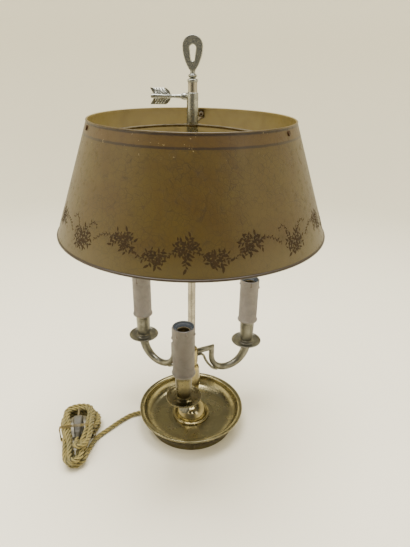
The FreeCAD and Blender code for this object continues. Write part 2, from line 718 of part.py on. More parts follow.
# The lights: the same ten pieces on each arm
pan_dip = 1.3
pan_edge = 0.9
shell_bottom = holder_top - 3 - dim.shell_height
stem_radius = dim.nipple_radius + dim.thread_clearance + dim.stem_wall
for arm_name, arm_angle in ARM_ANGLES.items():
    def at_light(thing):
        return stand_at(thing, arm_angle, dim.arm_reach)

    at_light(turned("drip_pan_" + arm_name, [
        (dim.nipple_radius + 0.2, dim.arm_top),
        (dim.arm_end / 2 + 1.5, dim.arm_top),
        (dim.arm_end / 2 + 5.5, dim.arm_top - pan_dip),
        (dim.pan_radius - 3.2, dim.arm_top - pan_dip + 0.6),
        (dim.pan_radius - pan_edge, dim.arm_top + 0.9),
        (dim.pan_radius, dim.arm_top + 0.9 + pan_edge, pan_edge),
        (dim.pan_radius - pan_edge, dim.arm_top + 0.9 + 2 * pan_edge, pan_edge),
        (dim.pan_radius - 3.8, dim.arm_top + dim.pan_wall - pan_dip + 0.8),
        (dim.arm_end / 2 + 5.7, dim.arm_top + dim.pan_wall - pan_dip),
        (dim.arm_end / 2 + 2.2, pan_top),
        (dim.nipple_radius + 0.2, pan_top),
    ]))
    at_light(turned("candle_cup_" + arm_name, [
        (dim.nipple_radius + 0.2, pan_top),
        (dim.cup_foot, pan_top),
        (dim.cup_foot + 0.6, pan_top + 1.0, 1.0),
        (dim.cup_foot - 0.3, pan_top + 2.4, 1.6),
        (dim.cup_mouth - 0.7, cup_top - 4.5, 240.0),
        (dim.cup_mouth - 0.7, cup_top - 3.6),
        (dim.cup_mouth, cup_top - 2.6, 1.4),
        (dim.cup_mouth, cup_top),
        (dim.cup_mouth - dim.cup_wall, cup_top),
        (dim.cup_mouth - dim.cup_wall - 0.9, cup_top - 4.5),
        (dim.cup_foot - dim.cup_wall - 0.3, pan_top + 3.4, -240.0),
        (dim.cup_foot - dim.cup_wall - 0.9, pan_top + 2.0),
        (dim.nipple_radius + 0.2, pan_top + 2.0),
    ]))
    at_light(tube("sleeve_seat_" + arm_name, dim.nipple_radius + 0.2, dim.seat_radius,
                  cup_top, seat_top))
    at_light(tube("nipple_" + arm_name, dim.nipple_bore, dim.nipple_radius,
                  dim.arm_top - dim.nipple_depth, seat_top + 8))
    at_light(turned("holder_stem_" + arm_name, [
        (dim.nipple_radius + dim.thread_clearance, seat_top),
        (stem_radius, seat_top),
        (stem_radius, holder_bottom),
        (stem_radius - 2.4, holder_bottom),
        (stem_radius - 2.4, holder_bottom - 1.4),
        (dim.nipple_radius + dim.thread_clearance, holder_bottom - 2.4),
    ]))
    holder_radius = dim.sleeve_radius - dim.sleeve_wall - dim.holder_clearance
    at_light(turned("lamp_holder_" + arm_name, [
        (0, holder_bottom),
        (holder_radius - 1.5, holder_bottom),
        (holder_radius, holder_bottom + 1.5),
        (holder_radius, holder_top - 0.8),
        (holder_radius - 0.8, holder_top, 0.8),
        (dim.holder_mouth, holder_top),
        (dim.holder_mouth, shell_bottom + 4),
        (dim.shell_radius + 0.05, shell_bottom + 4),
        (dim.shell_radius + 0.05, shell_bottom),
        (3.0, shell_bottom),
        (3.0, shell_bottom - 3.0),
        (0, shell_bottom - 3.0),
    ]))
    at_light(turned("screw_shell_" + arm_name, [
        (3.2, shell_bottom),
        (dim.shell_radius, shell_bottom),
        (dim.shell_radius, shell_bottom + dim.shell_height - 1),
        (dim.shell_radius + 0.5, shell_bottom + dim.shell_height, -1.2),
        (dim.shell_radius - 0.2, shell_bottom + dim.shell_height),
        (dim.shell_radius - dim.shell_wall, shell_bottom + dim.shell_height - 1),
        (dim.shell_radius - dim.shell_wall, shell_bottom + dim.shell_wall),
        (3.2, shell_bottom + dim.shell_wall),
    ]))
    at_light(turned("centre_contact_" + arm_name, [
        (0, shell_bottom - 3.0),
        (2.8, shell_bottom - 3.0),
        (2.8, shell_bottom - 0.6),
        (1.7, shell_bottom + 0.5, 1.1),
        (0, shell_bottom + 0.5),
    ]))
    sleeve_inner = dim.sleeve_radius - dim.sleeve_wall
    at_light(turned("candle_sleeve_" + arm_name, [
        (stem_radius + 1.2, seat_top),
        (dim.sleeve_radius + dim.drip_collar - 0.4, seat_top),
        (dim.sleeve_radius + dim.drip_collar, seat_top + 1.6, 1.8),
        (dim.sleeve_radius, seat_top + 3.4, 2.0),
        (dim.sleeve_radius, seat_top + dim.sleeve_height - 0.8),
        (dim.sleeve_radius - 0.8, seat_top + dim.sleeve_height, 0.8),
        (sleeve_inner, seat_top + dim.sleeve_height),
        (sleeve_inner, seat_top + 1.4),
        (stem_radius + 1.2, seat_top + 1.4),
    ]))

# Shade carrier: a sleeve that slides on the column, with a boss for the thumb-screw
carrier_bore = dim.column_radius + dim.slide_clearance
carrier = new_body("Carrier")
revolve(carrier, draw(carrier, "Profile", "XZ_Plane", [
    (carrier_bore, dim.carrier_bottom),
    (dim.carrier_radius, dim.carrier_bottom),
    (dim.carrier_radius, dim.carrier_top - 0.6),
    (dim.carrier_radius - 0.6, dim.carrier_top, 0.6),
    (carrier_bore, dim.carrier_top),
]))
boss = pad(carrier, circle_sketch(carrier, "Boss", "YZ_Plane", 0, dim.screw_height,
                                  dim.boss_radius), dim.boss_reach, "BossPad", reverse=True)
pocket(carrier, circle_sketch(carrier, "Way", "XY_Plane", 0, 0, carrier_bore),
       4 * dim.carrier_top, "WayPocket", both_ways=True)
pocket(carrier, circle_sketch(carrier, "Thread", "YZ_Plane", 0, dim.screw_height,
                              dim.screw_radius + dim.screw_clearance),
       dim.boss_reach + 2, "ThreadHole")
carrier.Placement = Placement(Vector(), Rotation(UP, float(dim.screw_turn)))
carrier.setExpression("Placement.Rotation.Angle", dim.screw_turn.text)
keep(carrier, "shade_carrier")

# Thumb-screw: thread and shaft turned, and the arrow's tail cut from plate, one piece
tip_gap = 0.3
tail_end = dim.tail_start + dim.tail_length
tail_half = dim.tail_height / 2
screw = new_body("ThumbScrew")
revolve(screw, draw(screw, "Profile", "XZ_Plane", [
    (0, dim.column_radius + tip_gap),
    (dim.screw_radius - 0.5, dim.column_radius + tip_gap),
    (dim.screw_radius, dim.column_radius + tip_gap + 0.6),
    (dim.screw_radius, dim.boss_reach + 0.2),
    (dim.boss_radius - 0.5, dim.boss_reach + 0.2),
    (dim.boss_radius - 0.5, dim.boss_reach + 1.6),
    (dim.screw_radius + 0.2, dim.boss_reach + 2.8, -1.6),
    (dim.screw_radius - 0.3, dim.tail_start - 2, 200.0),
    (dim.screw_radius + 0.3, dim.tail_start, -6.0),
    (dim.screw_radius + 0.3, tail_end - 1.6),
    (dim.screw_radius - 0.7, tail_end - 0.6, 1.0),
    (0, tail_end - 0.6),
]))
notch = 3.6
pad(screw, draw(screw, "Tail", "XZ_Plane", [
    (0, dim.tail_start - 1.2),
    (tail_half * 0.42, dim.tail_start + 0.3),
    (tail_half, dim.tail_start + 6.0, 9.0),
    (tail_half, tail_end),
    (tail_half * 0.32, tail_end - notch),
    (0, tail_end - notch),
    (-tail_half * 0.32, tail_end - notch),
    (-tail_half, tail_end),
    (-tail_half, dim.tail_start + 6.0),
    (-tail_half * 0.42, dim.tail_start + 0.3, 9.0),
]), dim.tail_thickness, "TailPad", both_ways=True)
# Barbs: slanting grooves cut into both faces of the tail, side by side
barb_depth = 0.5
barb_width = 0.8
barb_pitch = 3.0
barb_rise = 5.2
for face_name, face in (("Front", 1), ("Back", -1)):
    for side in (-1, 1):
        corners = [
            (side * (tail_half * 0.36), dim.tail_start + 3.0),
            (side * (tail_half + 1.5), dim.tail_start + 3.0 + barb_rise),
            (side * (tail_half + 1.5), dim.tail_start + 3.0 + barb_rise + barb_width),
            (side * (tail_half * 0.36), dim.tail_start + 3.0 + barb_width),
        ]
        level = (dim.tail_thickness / 2 - barb_depth) * face
        groove_place = Placement(Vector(0, 0, float(level)), Rotation())
        tag = face_name + ("Upper" if side > 0 else "Lower")
        groove = pocket(screw, draw(screw, "Barb" + tag, "XZ_Plane", corners, offset=groove_place),
                        barb_depth + 1, "BarbCut" + tag, reverse=face > 0)
        rows = screw.newObject("PartDesign::LinearPattern", "Barbs" + tag)
        rows.Originals = [groove]
        rows.Direction = (plane_of(screw, "Z_Axis"), [""])
        rows.Length = 4 * barb_pitch
        rows.Occurrences = 5
        screw.Tip = rows
screw_way = Rotation(UP, float(dim.screw_turn)).multiply(Rotation(Vector(0, 1, 0), -90))
screw.Placement = Placement(Vector(0, 0, float(dim.screw_height)), screw_way)
screw.setExpression("Placement.Base.z", dim.screw_height.text)
keep(screw, "thumb_screw")

# Shade: one cone of painted sheet with a rolled bead at each edge
shade_slope = (dim.shade_bottom_radius - dim.shade_top_radius) / dim.shade_height
shade_top = dim.shade_bottom + dim.shade_height
lean = math.atan(float(shade_slope))
wall_level = dim.shade_wall / math.cos(lean)
shade_cone = new_body("ShadeCone")
revolve(shade_cone, draw(shade_cone, "Wall", "XZ_Plane", [
    (dim.shade_bottom_radius - wall_level, dim.shade_bottom),
    (dim.shade_bottom_radius, dim.shade_bottom),
    (dim.shade_top_radius, shade_top),
    (dim.shade_top_radius - wall_level, shade_top),
]))
for bead_name, reach, height, radius in (
        ("LowerBead", dim.shade_bottom_radius, dim.shade_bottom, dim.bead_radius),
        ("UpperBead", dim.shade_top_radius, shade_top, dim.top_bead_radius)):
    revolve(shade_cone, circle_sketch(shade_cone, bead_name + "Section", "XZ_Plane",
                                      reach - dim.shade_wall / 2, height, radius), bead_name)


def radius_at(height):
    """Outside radius of the shade at a height."""
    return dim.shade_top_radius + (shade_top - height) * shade_slope


screw_level = shade_top - dim.shade_screw_drop
screw_reach = radius_at(screw_level)


def through_shade(angle, outward):
    """A placement square to the shade's wall at a screw, its Z pointing out of the shade."""
    turn = math.radians(angle)
    reach = float(screw_reach) + outward * math.cos(lean)
    height = float(screw_level) + outward * math.sin(lean)
    tilt = Rotation(Vector(0, 1, 0), 90 - math.degrees(lean))
    return Placement(Vector(reach * math.sin(turn), -reach * math.cos(turn), height),
                     Rotation(UP, angle - 90).multiply(tilt))


hole_radius = dim.shade_screw_radius + dim.shade_screw_room
drill_length = 6.0
drills = [primitive("Cylinder", "ShadeDrill%d" % index, through_shade(angle, -drill_length / 2),
                    Radius=hole_radius, Height=drill_length)
          for index, angle in enumerate(SPIDER_ANGLES)]
keep(cut(shade_cone, drills, "ShadeDrilled"), "shade")

# Spider: a ring on the carrier and three arched strips, turned up against the shade
spider = new_body("Spider")
spider_under = dim.spider_height - dim.spider_thickness / 2
ring_place = Placement(Vector(0, 0, float(spider_under)), Rotation())
pad(spider, circle_sketch(spider, "Ring", "XY_Plane", 0, 0, dim.spider_ring, offset=ring_place),
    dim.spider_thickness, "RingPad")
tab_in = dim.spider_thickness
strip_low = spider_under - dim.spider_drop
strip_bend = 1.6
arch_radius = 600.0
tab_top = strip_low + dim.tab_height


def tab_reach(height):
    """How far out the flat tab reaches at a height, just inside the shade."""
    return radius_at(height) - wall_level - dim.tab_gap


strip = pad(spider, draw(spider, "Strip", "XZ_Plane", [
    (dim.spider_ring - 2, spider_under),
    (tab_reach(strip_low) - strip_bend, strip_low, -arch_radius),
    (tab_reach(strip_low + strip_bend), strip_low + strip_bend, strip_bend),
    (tab_reach(tab_top), tab_top),
    (tab_reach(tab_top) - tab_in, tab_top),
    (tab_reach(strip_low + tab_in) - tab_in - 0.2, strip_low + tab_in + 0.4),
    (tab_reach(strip_low + tab_in) - tab_in - 1.0, strip_low + tab_in, -1.2),
    (dim.spider_ring - 2, spider_under + dim.spider_thickness, arch_radius),
]), dim.spider_width, "StripPad", both_ways=True)
polar(spider, strip, 3, "Strips")
pocket(spider, circle_sketch(spider, "Bore", "XY_Plane", 0, 0, dim.carrier_radius + 0.06),
       4 * dim.spider_height, "BorePocket", both_ways=True)
spider.Placement = Placement(Vector(), Rotation(UP, SPIDER_ANGLES[0] - 90))
spider_drills = [primitive("Cylinder", "TabDrill%d" % index, through_shade(angle, -drill_length),
                           Radius=hole_radius, Height=drill_length)
                 for index, angle in enumerate(SPIDER_ANGLES)]
keep(cut(spider, spider_drills, "SpiderDrilled"), "spider")

# Screws through shade and tabs, with their nuts inside
grip = (float(wall_level) + float(dim.tab_gap) + float(tab_in)) * math.cos(lean)
nut_gap = 0.05
shade_nut_height = 2.2
shade_screws = []
shade_nuts = []
for index, angle in enumerate(SPIDER_ANGLES):
    fixing = new_body("ShadeScrew%d" % index)
    revolve(fixing, draw(fixing, "Profile", "XZ_Plane", [
        (0, -grip - 2.8),
        (dim.shade_screw_radius, -grip - 2.8),
        (dim.shade_screw_radius, 0.05),
        (2 * dim.shade_screw_radius, 0.05),
        (2 * dim.shade_screw_radius, 0.6),
        (1.3 * dim.shade_screw_radius, 1.5, 1.3),
        (0, 1.5),
    ]))
    fixing.Placement = through_shade(angle, 0.0)
    shade_screws.append(fixing)
    nut = new_body("ShadeNut%d" % index)
    nut_depth = -grip - nut_gap - shade_nut_height
    pad(nut, draw(nut, "Hexagon", "XY_Plane", hexagon(5.5),
                  offset=Placement(Vector(0, 0, nut_depth), Rotation())), shade_nut_height)
    pocket(nut, circle_sketch(nut, "Thread", "XY_Plane", 0, 0, dim.shade_screw_radius + 0.05),
           20, "ThreadHole", both_ways=True)
    nut.Placement = through_shade(angle, 0.0)
    shade_nuts.append(nut)
group(shade_screws, "ShadeScrews", "shade_screws")
group(shade_nuts, "ShadeNuts", "shade_nuts")

# Finial: a turned neck that plugs the column, and a cast ring like a key's bow
finial = new_body("Finial")
spigot = dim.column_radius - dim.column_wall - 0.1
collar = 6.05
ring_neck = dim.column_top + dim.finial_neck
ring_neck_half = 3.2
revolve(finial, draw(finial, "NeckProfile", "XZ_Plane", [
    (0, dim.column_top - 10),
    (spigot - 0.5, dim.column_top - 10),
    (spigot, dim.column_top - 9.5),
    (spigot, dim.column_top),
    (collar - 0.4, dim.column_top),
    (collar, dim.column_top + 0.4, 0.4),
    (collar, dim.column_top + 2.4),
    (collar - 1.2, dim.column_top + 3.6, 1.2),
    (ring_neck_half - 0.2, dim.column_top + 4.6, -1.8),
    (ring_neck_half + 1.2, dim.column_top + 5.4),
    (ring_neck_half + 1.2, dim.column_top + 8.0, 1.5),
    (ring_neck_half - 0.3, dim.column_top + 9.2, -1.6),
    (ring_neck_half, ring_neck + 3),
    (0, ring_neck + 4.5, 4.4),
]))
ring_half = dim.ring_width / 2
ring_top = ring_neck + dim.ring_height
ring_centre = ring_top - ring_half
side_rise = float(ring_centre - ring_neck)
side_run = float(ring_half) - ring_neck_half
side_radius = (side_run * side_run + side_rise * side_rise) / (2 * side_run)
ring_sketch = draw(finial, "RingOutline", "XZ_Plane", [
    (ring_neck_half, ring_neck),
    (ring_half, ring_centre, side_radius),
    (0, ring_top, ring_half),
    (-ring_half, ring_centre, ring_half),
    (-ring_neck_half, ring_neck, side_radius),
])
pad(finial, ring_sketch, dim.ring_thickness, "RingPad", both_ways=True)
hole_half = dim.ring_hole_width / 2
hole_foot = 2.2
hole_low = ring_neck + dim.ring_hole_rise
hole_high = hole_low + dim.ring_hole_height
pocket(finial, draw(finial, "RingHole", "XZ_Plane", [
    (hole_foot, hole_low + hole_foot, hole_foot),
    (hole_half, hole_high - hole_half),
    (0, hole_high, hole_half),
    (-hole_half, hole_high - hole_half, hole_half),
    (-hole_foot, hole_low + hole_foot),
    (0, hole_low, hole_foot),
]), 2 * dim.ring_thickness, "RingHolePocket", both_ways=True)
keep(finial, "finial")

# The cord. Its route on the table is a list of chosen points; the hank and the plug have a
# frame of their own, with the hank's length along its Y and the dish's side at its +X.
cord_radius = dim.cord_diameter / 2
d = float(dim.cord_diameter)
HANK_CENTRE = Vector(-162.3, -59.0, 0)
HANK_TURN = 14.3
hank_place = Placement(HANK_CENTRE, Rotation(UP, HANK_TURN))


def in_hank(x, y, z):
    return hank_place.multVec(Vector(x, y, z))


LOOP_TOP = 25.5
LOOP_WAIST = 21.0
LOOP_FOOT = 15.0
REACH_TOP = 53.0
REACH_FOOT = 55.8
LOOP_STEP = 6.3
LAYER_STEP = 5.85
LAYERS = 4
EIGHTHS_PER_LAYER = 12
LOW_LAYER = 4.3
on_table = 2.75

ROUTE = [
    Vector(-float(dim.foot_radius + dim.bushing_flange), 0.0, float(dim.cord_exit_height)),
    Vector(-76.0, 0.0, float(dim.cord_exit_height)),
    Vector(-86.0, -0.8, 2.9),
    Vector(-96.6, -6.7, on_table),
    Vector(-106.0, -17.2, on_table),
    Vector(-114.2, -27.6, on_table),
    Vector(-123.4, -40.6, on_table),
    in_hank(26.5, -4.0, on_table),
    in_hank(18.0, -22.0, 3.2),
    in_hank(LOOP_FOOT, LOOP_FOOT - REACH_FOOT, LOW_LAYER),
]


def rounded_path(points):
    """Straight runs joined by tangent arcs, each as large as its two runs allow."""
    edges = []
    here = points[0]
    radii = []
    for before, corner, after in zip(points, points[1:], points[2:]):
        back = before - corner
        on = after - corner
        turn = math.pi - back.getAngle(on)
        take = 0.45 * min(back.Length, on.Length)
        radius = take / math.tan(turn / 2)
        first = corner + back.normalize() * take
        last = corner + on.normalize() * take
        bisector = (first + last) * 0.5 - corner
        centre_distance = math.hypot(radius, take)
        middle = corner + bisector.normalize() * (centre_distance - radius)
        edges.append(Part.LineSegment(here, first).toShape())
        edges.append(Part.Arc(first, middle, last).toShape())
        radii.append(radius)
        here = last
    edges.append(Part.LineSegment(here, points[-1]).toShape())
    return Part.Wire(edges), radii


def cord_tube(path):
    """A round tube along a path, with its volume checked against section times length."""
    start = path.Edges[0]
    middle = start.valueAt(start.FirstParameter)
    along = start.tangentAt(start.FirstParameter)
    ring = Part.Wire(Part.Circle(middle, along, d / 2).toShape())
    shape = path.makePipeShell([ring], True, False)
    expected = math.pi * d * d / 4 * path.Length
    print("tube length %.1f volume ratio %.4f" % (path.Length, shape.Volume / expected))
    if abs(shape.Volume / expected - 1) > 0.01:
        raise RuntimeError("tube volume")
    return shape


def make_feature(name, label, shape):
    thing = doc.addObject("Part::Feature", name)
    thing.Shape = shape
    return keep(thing, label)


run_path, run_radii = rounded_path(ROUTE)
print("cord run radii", " ".join("%.1f" % radius for radius in run_radii))
make_feature("CordRun", "cord_run", cord_tube(run_path))


def hank_node(eighth):
    """Centre and direction of the hank's cord after so many eighths of a turn.

    Eighths run clockwise seen from above: right waist, right foot shoulder, foot, left foot
    shoulder, left waist, left top shoulder, top, right top shoulder. Each layer takes one and
    a half turns, spiralling in and then out again, and the next one lies on it.
    """
    layer, step = divmod(eighth, EIGHTHS_PER_LAYER)
    if layer == LAYERS:
        layer, step = LAYERS - 1, EIGHTHS_PER_LAYER
    travelled = step if layer % 2 == 0 else EIGHTHS_PER_LAYER - step
    inward = LOOP_STEP * travelled / 8
    if step == 0 and layer > 0:
        layer -= 1
    height = LOW_LAYER + LAYER_STEP * layer
    top = LOOP_TOP - inward
    foot = LOOP_FOOT - inward
    waist = LOOP_WAIST - inward
    top_reach = REACH_TOP - inward
    foot_reach = inward - REACH_FOOT
    places = [
        (waist, 0, 0, -1),
        (foot, foot_reach + foot, 0, -1),
        (0, foot_reach, -1, 0),
        (-foot, foot_reach + foot, 0, 1),
        (-waist, 0, 0, 1),
        (-top, top_reach - top, 0, 1),
        (0, top_reach, 1, 0),
        (top, top_reach - top, 0, -1),
    ]
    x, y, along_x, along_y = places[eighth % 8]
    return Vector(x, y, height), Vector(along_x, along_y, 0)


def biarc(start, start_way, end, end_way):
    """Two tangent arcs that leave start along its direction and reach end along its own."""
    chord = end - start
    both = start_way + end_way
    spread = 2 * (1 - start_way.dot(end_way))
    if spread < 1e-9:
        reach = chord.dot(chord) / (4 * chord.dot(end_way))
    else:
        lean_in = chord.dot(both)
        reach = (math.sqrt(lean_in * lean_in + spread * chord.dot(chord)) - lean_in) / spread
    first_corner = start + start_way * reach
    last_corner = end - end_way * reach
    joint = (first_corner + last_corner) * 0.5
    return [short_arc(start, first_corner, joint), short_arc(joint, last_corner, end)]


def short_arc(first, corner, last):
    """The arc from first to last whose end tangents meet at the corner."""
    middle = (first + last) * 0.5
    away = corner - middle
    half = (last - first).Length / 2
    if away.Length < 1e-4 * half:
        return Part.LineSegment(first, last).toShape()
    bend = math.atan2(away.Length, half)
    top = middle + away.normalize() * (half * math.tan(bend / 2))
    return Part.Arc(first, top, last).toShape()


top_layer = LOW_LAYER + LAYER_STEP * (LAYERS - 1)
plug_height = 13.5
plug_face = 21.0
plug_length = 26.0
relief_length = 7.0
plug_back = plug_face - plug_length
TAIL = [
    (Vector(17.6, -26.0, top_layer + 2.6), Vector(-0.12, -1.0, 0.16)),
    (Vector(8.2, -42.5, top_layer + LAYER_STEP), Vector(-1.0, 0.0, 0.0)),
    (Vector(0.0, -34.5, top_layer + LAYER_STEP - 0.6), Vector(0.0, 1.0, -0.12)),
    (Vector(0.0, plug_back - relief_length, plug_height), Vector(0.0, 1.0, 0.0)),
]
hank_nodes = [hank_node(eighth) for eighth in range(1, EIGHTHS_PER_LAYER * LAYERS + 1)]
run_end = hank_place.inverse().multVec(ROUTE[-1])
run_before = hank_place.inverse().multVec(ROUTE[-2])
hank_nodes[0] = (run_end, (run_end - run_before).normalize())
hank_nodes += [(place, Vector(way).normalize()) for place, way in TAIL]
hank_edges = []
for (start, start_way), (end, end_way) in zip(hank_nodes, hank_nodes[1:]):
    hank_edges += biarc(start, start_way, end, end_way)
hank_path = Part.Wire(hank_edges)


def least_gap(path, spacing=1.2):
    """Least clear distance between stretches of the tube that aren't neighbours."""
    points = path.discretize(Distance=spacing)
    skip = int(math.pi * d / spacing)
    nearest = None
    for index, point in enumerate(points):
        for other in points[index + skip:]:
            distance = (point - other).Length
            if nearest is None or distance < nearest:
                nearest = distance
    return nearest - d


print("hank least gap %.2f" % least_gap(hank_path))
hank_shape = cord_tube(hank_path)
hank_shape.Placement = hank_place
make_feature("CordHank", "cord_hank", hank_shape)
print("cord length outside the lamp %.1f" % (run_path.Length + hank_path.Length))

# A flat tie round the hank's waist
tie_wall = 1.1
tie_room = 0.4
tie_width = 5.0
tie_half = LOOP_WAIST + d / 2 + tie_room
tie_bottom = LOW_LAYER - d / 2 - tie_room
tie_top = top_layer + d / 2 + tie_room
tie_corner = d / 2 + tie_room


def rounded_box(half_width, low, high, corner, depth):
    """A bar along Y with rounded long edges, centred on the hank's waist."""
    box = Part.makeBox(2 * half_width, depth, high - low, Vector(-half_width, -depth / 2, low))
    long_edges = [edge for edge in box.Edges if abs(edge.tangentAt(0).y) > 0.99]
    return box.makeFillet(corner, long_edges)


tie_outer = rounded_box(tie_half + tie_wall, tie_bottom - tie_wall, tie_top + tie_wall,
                        tie_corner + tie_wall, tie_width)
tie_inner = rounded_box(tie_half, tie_bottom, tie_top, tie_corner, tie_width + 2)
tie_shape = tie_outer.cut(tie_inner)
tie_shape.Placement = hank_place
make_feature("CordTie", "cord_tie", tie_shape)

# Two-pin plug, standing on edge in the hank's eye
plug = new_body("Plug")
plug_sections = []
for name, along, half_wide, half_high, corner in (
        ("Face", plug_face, 7.0, 13.0, 3.0),
        ("Grip", plug_face - 9.0, 6.4, 12.2, 3.0),
        ("Waist", plug_face - 18.0, 5.6, 9.0, 3.0),
        ("Back", plug_back, 4.6, 5.6, 3.0)):
    offset = Placement(Vector(0, 0, -along), Rotation())
    plug_sections.append(draw(plug, name, "XZ_Plane", [
        (-half_wide + corner, plug_height - half_high, corner),
        (half_wide - corner, plug_height - half_high),
        (half_wide, plug_height - half_high + corner, corner),
        (half_wide, plug_height + half_high - corner),
        (half_wide - corner, plug_height + half_high, corner),
        (-half_wide + corner, plug_height + half_high),
        (-half_wide, plug_height + half_high - corner, corner),
        (-half_wide, plug_height - half_high + corner),
    ], offset=offset))
loft(plug, plug_sections, "Housing")
relief_place = Placement(Vector(0, 0, -plug_back), Rotation())
relief = circle_sketch(plug, "Relief", "XZ_Plane", 0, plug_height, cord_radius + 1.0,
                       offset=relief_place)
pad(plug, relief, relief_length, "ReliefPad")
pin_spacing = 18.6
pin_radius = 2.0
pin_length = 19.0
pin_root = 5.0
pin_round = 1.2
for side in (-1, 1):
    hole_place = Placement(Vector(0, 0, -plug_face), Rotation())
    hole = circle_sketch(plug, "PinHole%d" % (side + 1), "XZ_Plane", 0,
                         plug_height + side * pin_spacing / 2, pin_radius + 0.03,
                         offset=hole_place)
    pocket(plug, hole, 2 * pin_root, "PinHolePocket%d" % (side + 1), both_ways=True)
plug.Placement = hank_place
keep(plug, "plug_body")
pins = []
for side in (-1, 1):
    pin = new_body("PlugPin%d" % (side + 1))
    revolve(pin, draw(pin, "Profile", "XZ_Plane", [
        (0, 0),
        (pin_radius, 0),
        (pin_radius, pin_root + pin_length - pin_round),
        (pin_radius - pin_round, pin_root + pin_length, pin_round),
        (0, pin_root + pin_length),
    ]))
    upright = Placement(Vector(0, plug_face - pin_root, plug_height + side * pin_spacing / 2),
                        Rotation(Vector(1, 0, 0), -90))
    pin.Placement = hank_place.multiply(upright)
    pins.append(pin)
group(pins, "PlugPins", "plug_pins")

# Inside the foot: the cord's end in its slot, and two wires that turn up into the pipe
inner_start = float(dim.foot_radius) + float(dim.bushing_flange)
inner_end = 20.0
exit_level = float(dim.cord_exit_height)
inner_path = Part.Wire([Part.LineSegment(Vector(-inner_start, 0, exit_level),
                                         Vector(-inner_end, 0, exit_level)).toShape()])
make_feature("CordInner", "cord_inner_end", cord_tube(inner_path))
pair_radius = 0.85
pair_offset = 1.15
pair = []
for side in (-1, 1):
    wire_path, wire_radii = rounded_path([
        Vector(-inner_end, side * pair_offset, exit_level),
        Vector(-inner_end + 5.0, side * pair_offset, exit_level - 0.4),
        Vector(-9.5, side * pair_offset, 3.0),
        Vector(-0.6, side * pair_offset, 2.9),
        Vector(-0.6, side * pair_offset, 16.0),
        Vector(-0.2, side * pair_offset, float(chamber_bottom) + 3.0),
    ])
    start_edge = wire_path.Edges[0]
    ring = Part.Wire(Part.Circle(start_edge.valueAt(0), start_edge.tangentAt(0),
                                 pair_radius).toShape())
    pair.append(wire_path.makePipeShell([ring], True, False))
make_feature("SupplyWires", "supply_wires", Part.makeCompound(pair))

doc.recompute()

# Every object has to be sound before anything is written
for thing in doc.Objects:
    if "Invalid" in thing.State or "Error" in thing.State:
        raise RuntimeError("%s failed: %s" % (thing.Label, thing.State))
for thing in subparts:
    if thing.Shape.isNull() or not thing.Shape.isValid():
        raise RuntimeError("%s has no sound shape" % thing.Label)
    if thing.Shape.optimalBoundingBox(True, False).ZMin < -1e-4:
        raise RuntimeError("%s reaches below the table" % thing.Label)

os.makedirs("parts", exist_ok=True)
for thing in subparts:
    thing.Shape.exportStep("parts/%s.step" % thing.Label)
print("%d sub-parts" % len(subparts))
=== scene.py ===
# %% [markdown]
# # A bouillotte lamp
# A brass dish lamp with three candle lights and a painted metal shade that slides on a tall
# column. The solid model is the fixed frame: it gives every size and place, in metres, with
# +Z up and the front arm along -Y. This script gives it its finishes, its real cord and wax.

# %% Load the frame
import bpy
import json
import math
import random
from mathutils import Matrix, Vector


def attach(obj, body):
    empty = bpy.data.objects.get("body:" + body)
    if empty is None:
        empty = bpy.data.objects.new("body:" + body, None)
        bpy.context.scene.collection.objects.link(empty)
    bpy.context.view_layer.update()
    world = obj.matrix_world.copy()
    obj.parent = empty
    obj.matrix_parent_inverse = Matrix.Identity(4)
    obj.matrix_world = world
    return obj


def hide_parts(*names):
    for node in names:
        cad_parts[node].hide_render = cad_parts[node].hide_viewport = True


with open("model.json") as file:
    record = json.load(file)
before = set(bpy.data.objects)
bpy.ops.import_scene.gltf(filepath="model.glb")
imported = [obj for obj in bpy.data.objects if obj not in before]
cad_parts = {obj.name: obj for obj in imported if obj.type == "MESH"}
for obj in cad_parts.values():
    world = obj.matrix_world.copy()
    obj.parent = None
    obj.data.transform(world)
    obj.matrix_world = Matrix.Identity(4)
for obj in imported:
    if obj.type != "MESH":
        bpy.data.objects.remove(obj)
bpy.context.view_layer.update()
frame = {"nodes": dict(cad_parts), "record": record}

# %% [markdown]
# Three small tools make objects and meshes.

nodes = frame["nodes"]
ARMS = ("front", "right", "left")
ARM_ANGLES = {"front": 0.0, "right": 120.0, "left": -120.0}
ARM_REACH = 0.0925
SHADE_RADIUS = 0.165
TURN = 2 * math.pi


def show(name, data):
    """A new object with this data, in the scene."""
    made = bpy.data.objects.new(name, data)
    bpy.context.scene.collection.objects.link(made)
    return made


def smooth_mesh(name, corners, faces):
    mesh = bpy.data.meshes.new(name)
    mesh.from_pydata(corners, [], faces)
    mesh.shade_smooth()
    return mesh


def evaluated_mesh(holder):
    """A mesh of an object as its modifiers leave it."""
    return bpy.data.meshes.new_from_object(
        holder.evaluated_get(bpy.context.evaluated_depsgraph_get()))


# %% [markdown]
# ## The camera
# The view was found by fitting a pinhole camera to the shade's two rims, the dish's rim and
# the column in the photograph. The camera looks down by a quarter of a right angle or so and
# stands just to the right of the front arm. Its lens is given as a focal length in pixels,
# which a sensor 36 mm along the picture's longer side turns into millimetres.

# %% Camera
PICTURE_HEIGHT = 547
FOCAL_PIXELS = 454.0


def place_camera(location, heading, pitch, roll):
    """A camera that looks along +Y, turned by the three angles given in degrees."""
    heading, pitch, roll = (math.radians(angle) for angle in (heading, pitch, roll))
    data = bpy.data.cameras.new("Camera")
    data.sensor_width = 36.0
    data.lens = FOCAL_PIXELS * data.sensor_width / PICTURE_HEIGHT
    data.clip_start = 0.01
    camera = show("Camera", data)
    camera.matrix_world = (
        Matrix.Translation(location) @ Matrix.Rotation(heading, 4, "Z")
        @ Matrix.Rotation(math.pi / 2 - pitch, 4, "X") @ Matrix.Rotation(roll, 4, "Z"))
    bpy.context.scene.camera = camera
    return camera


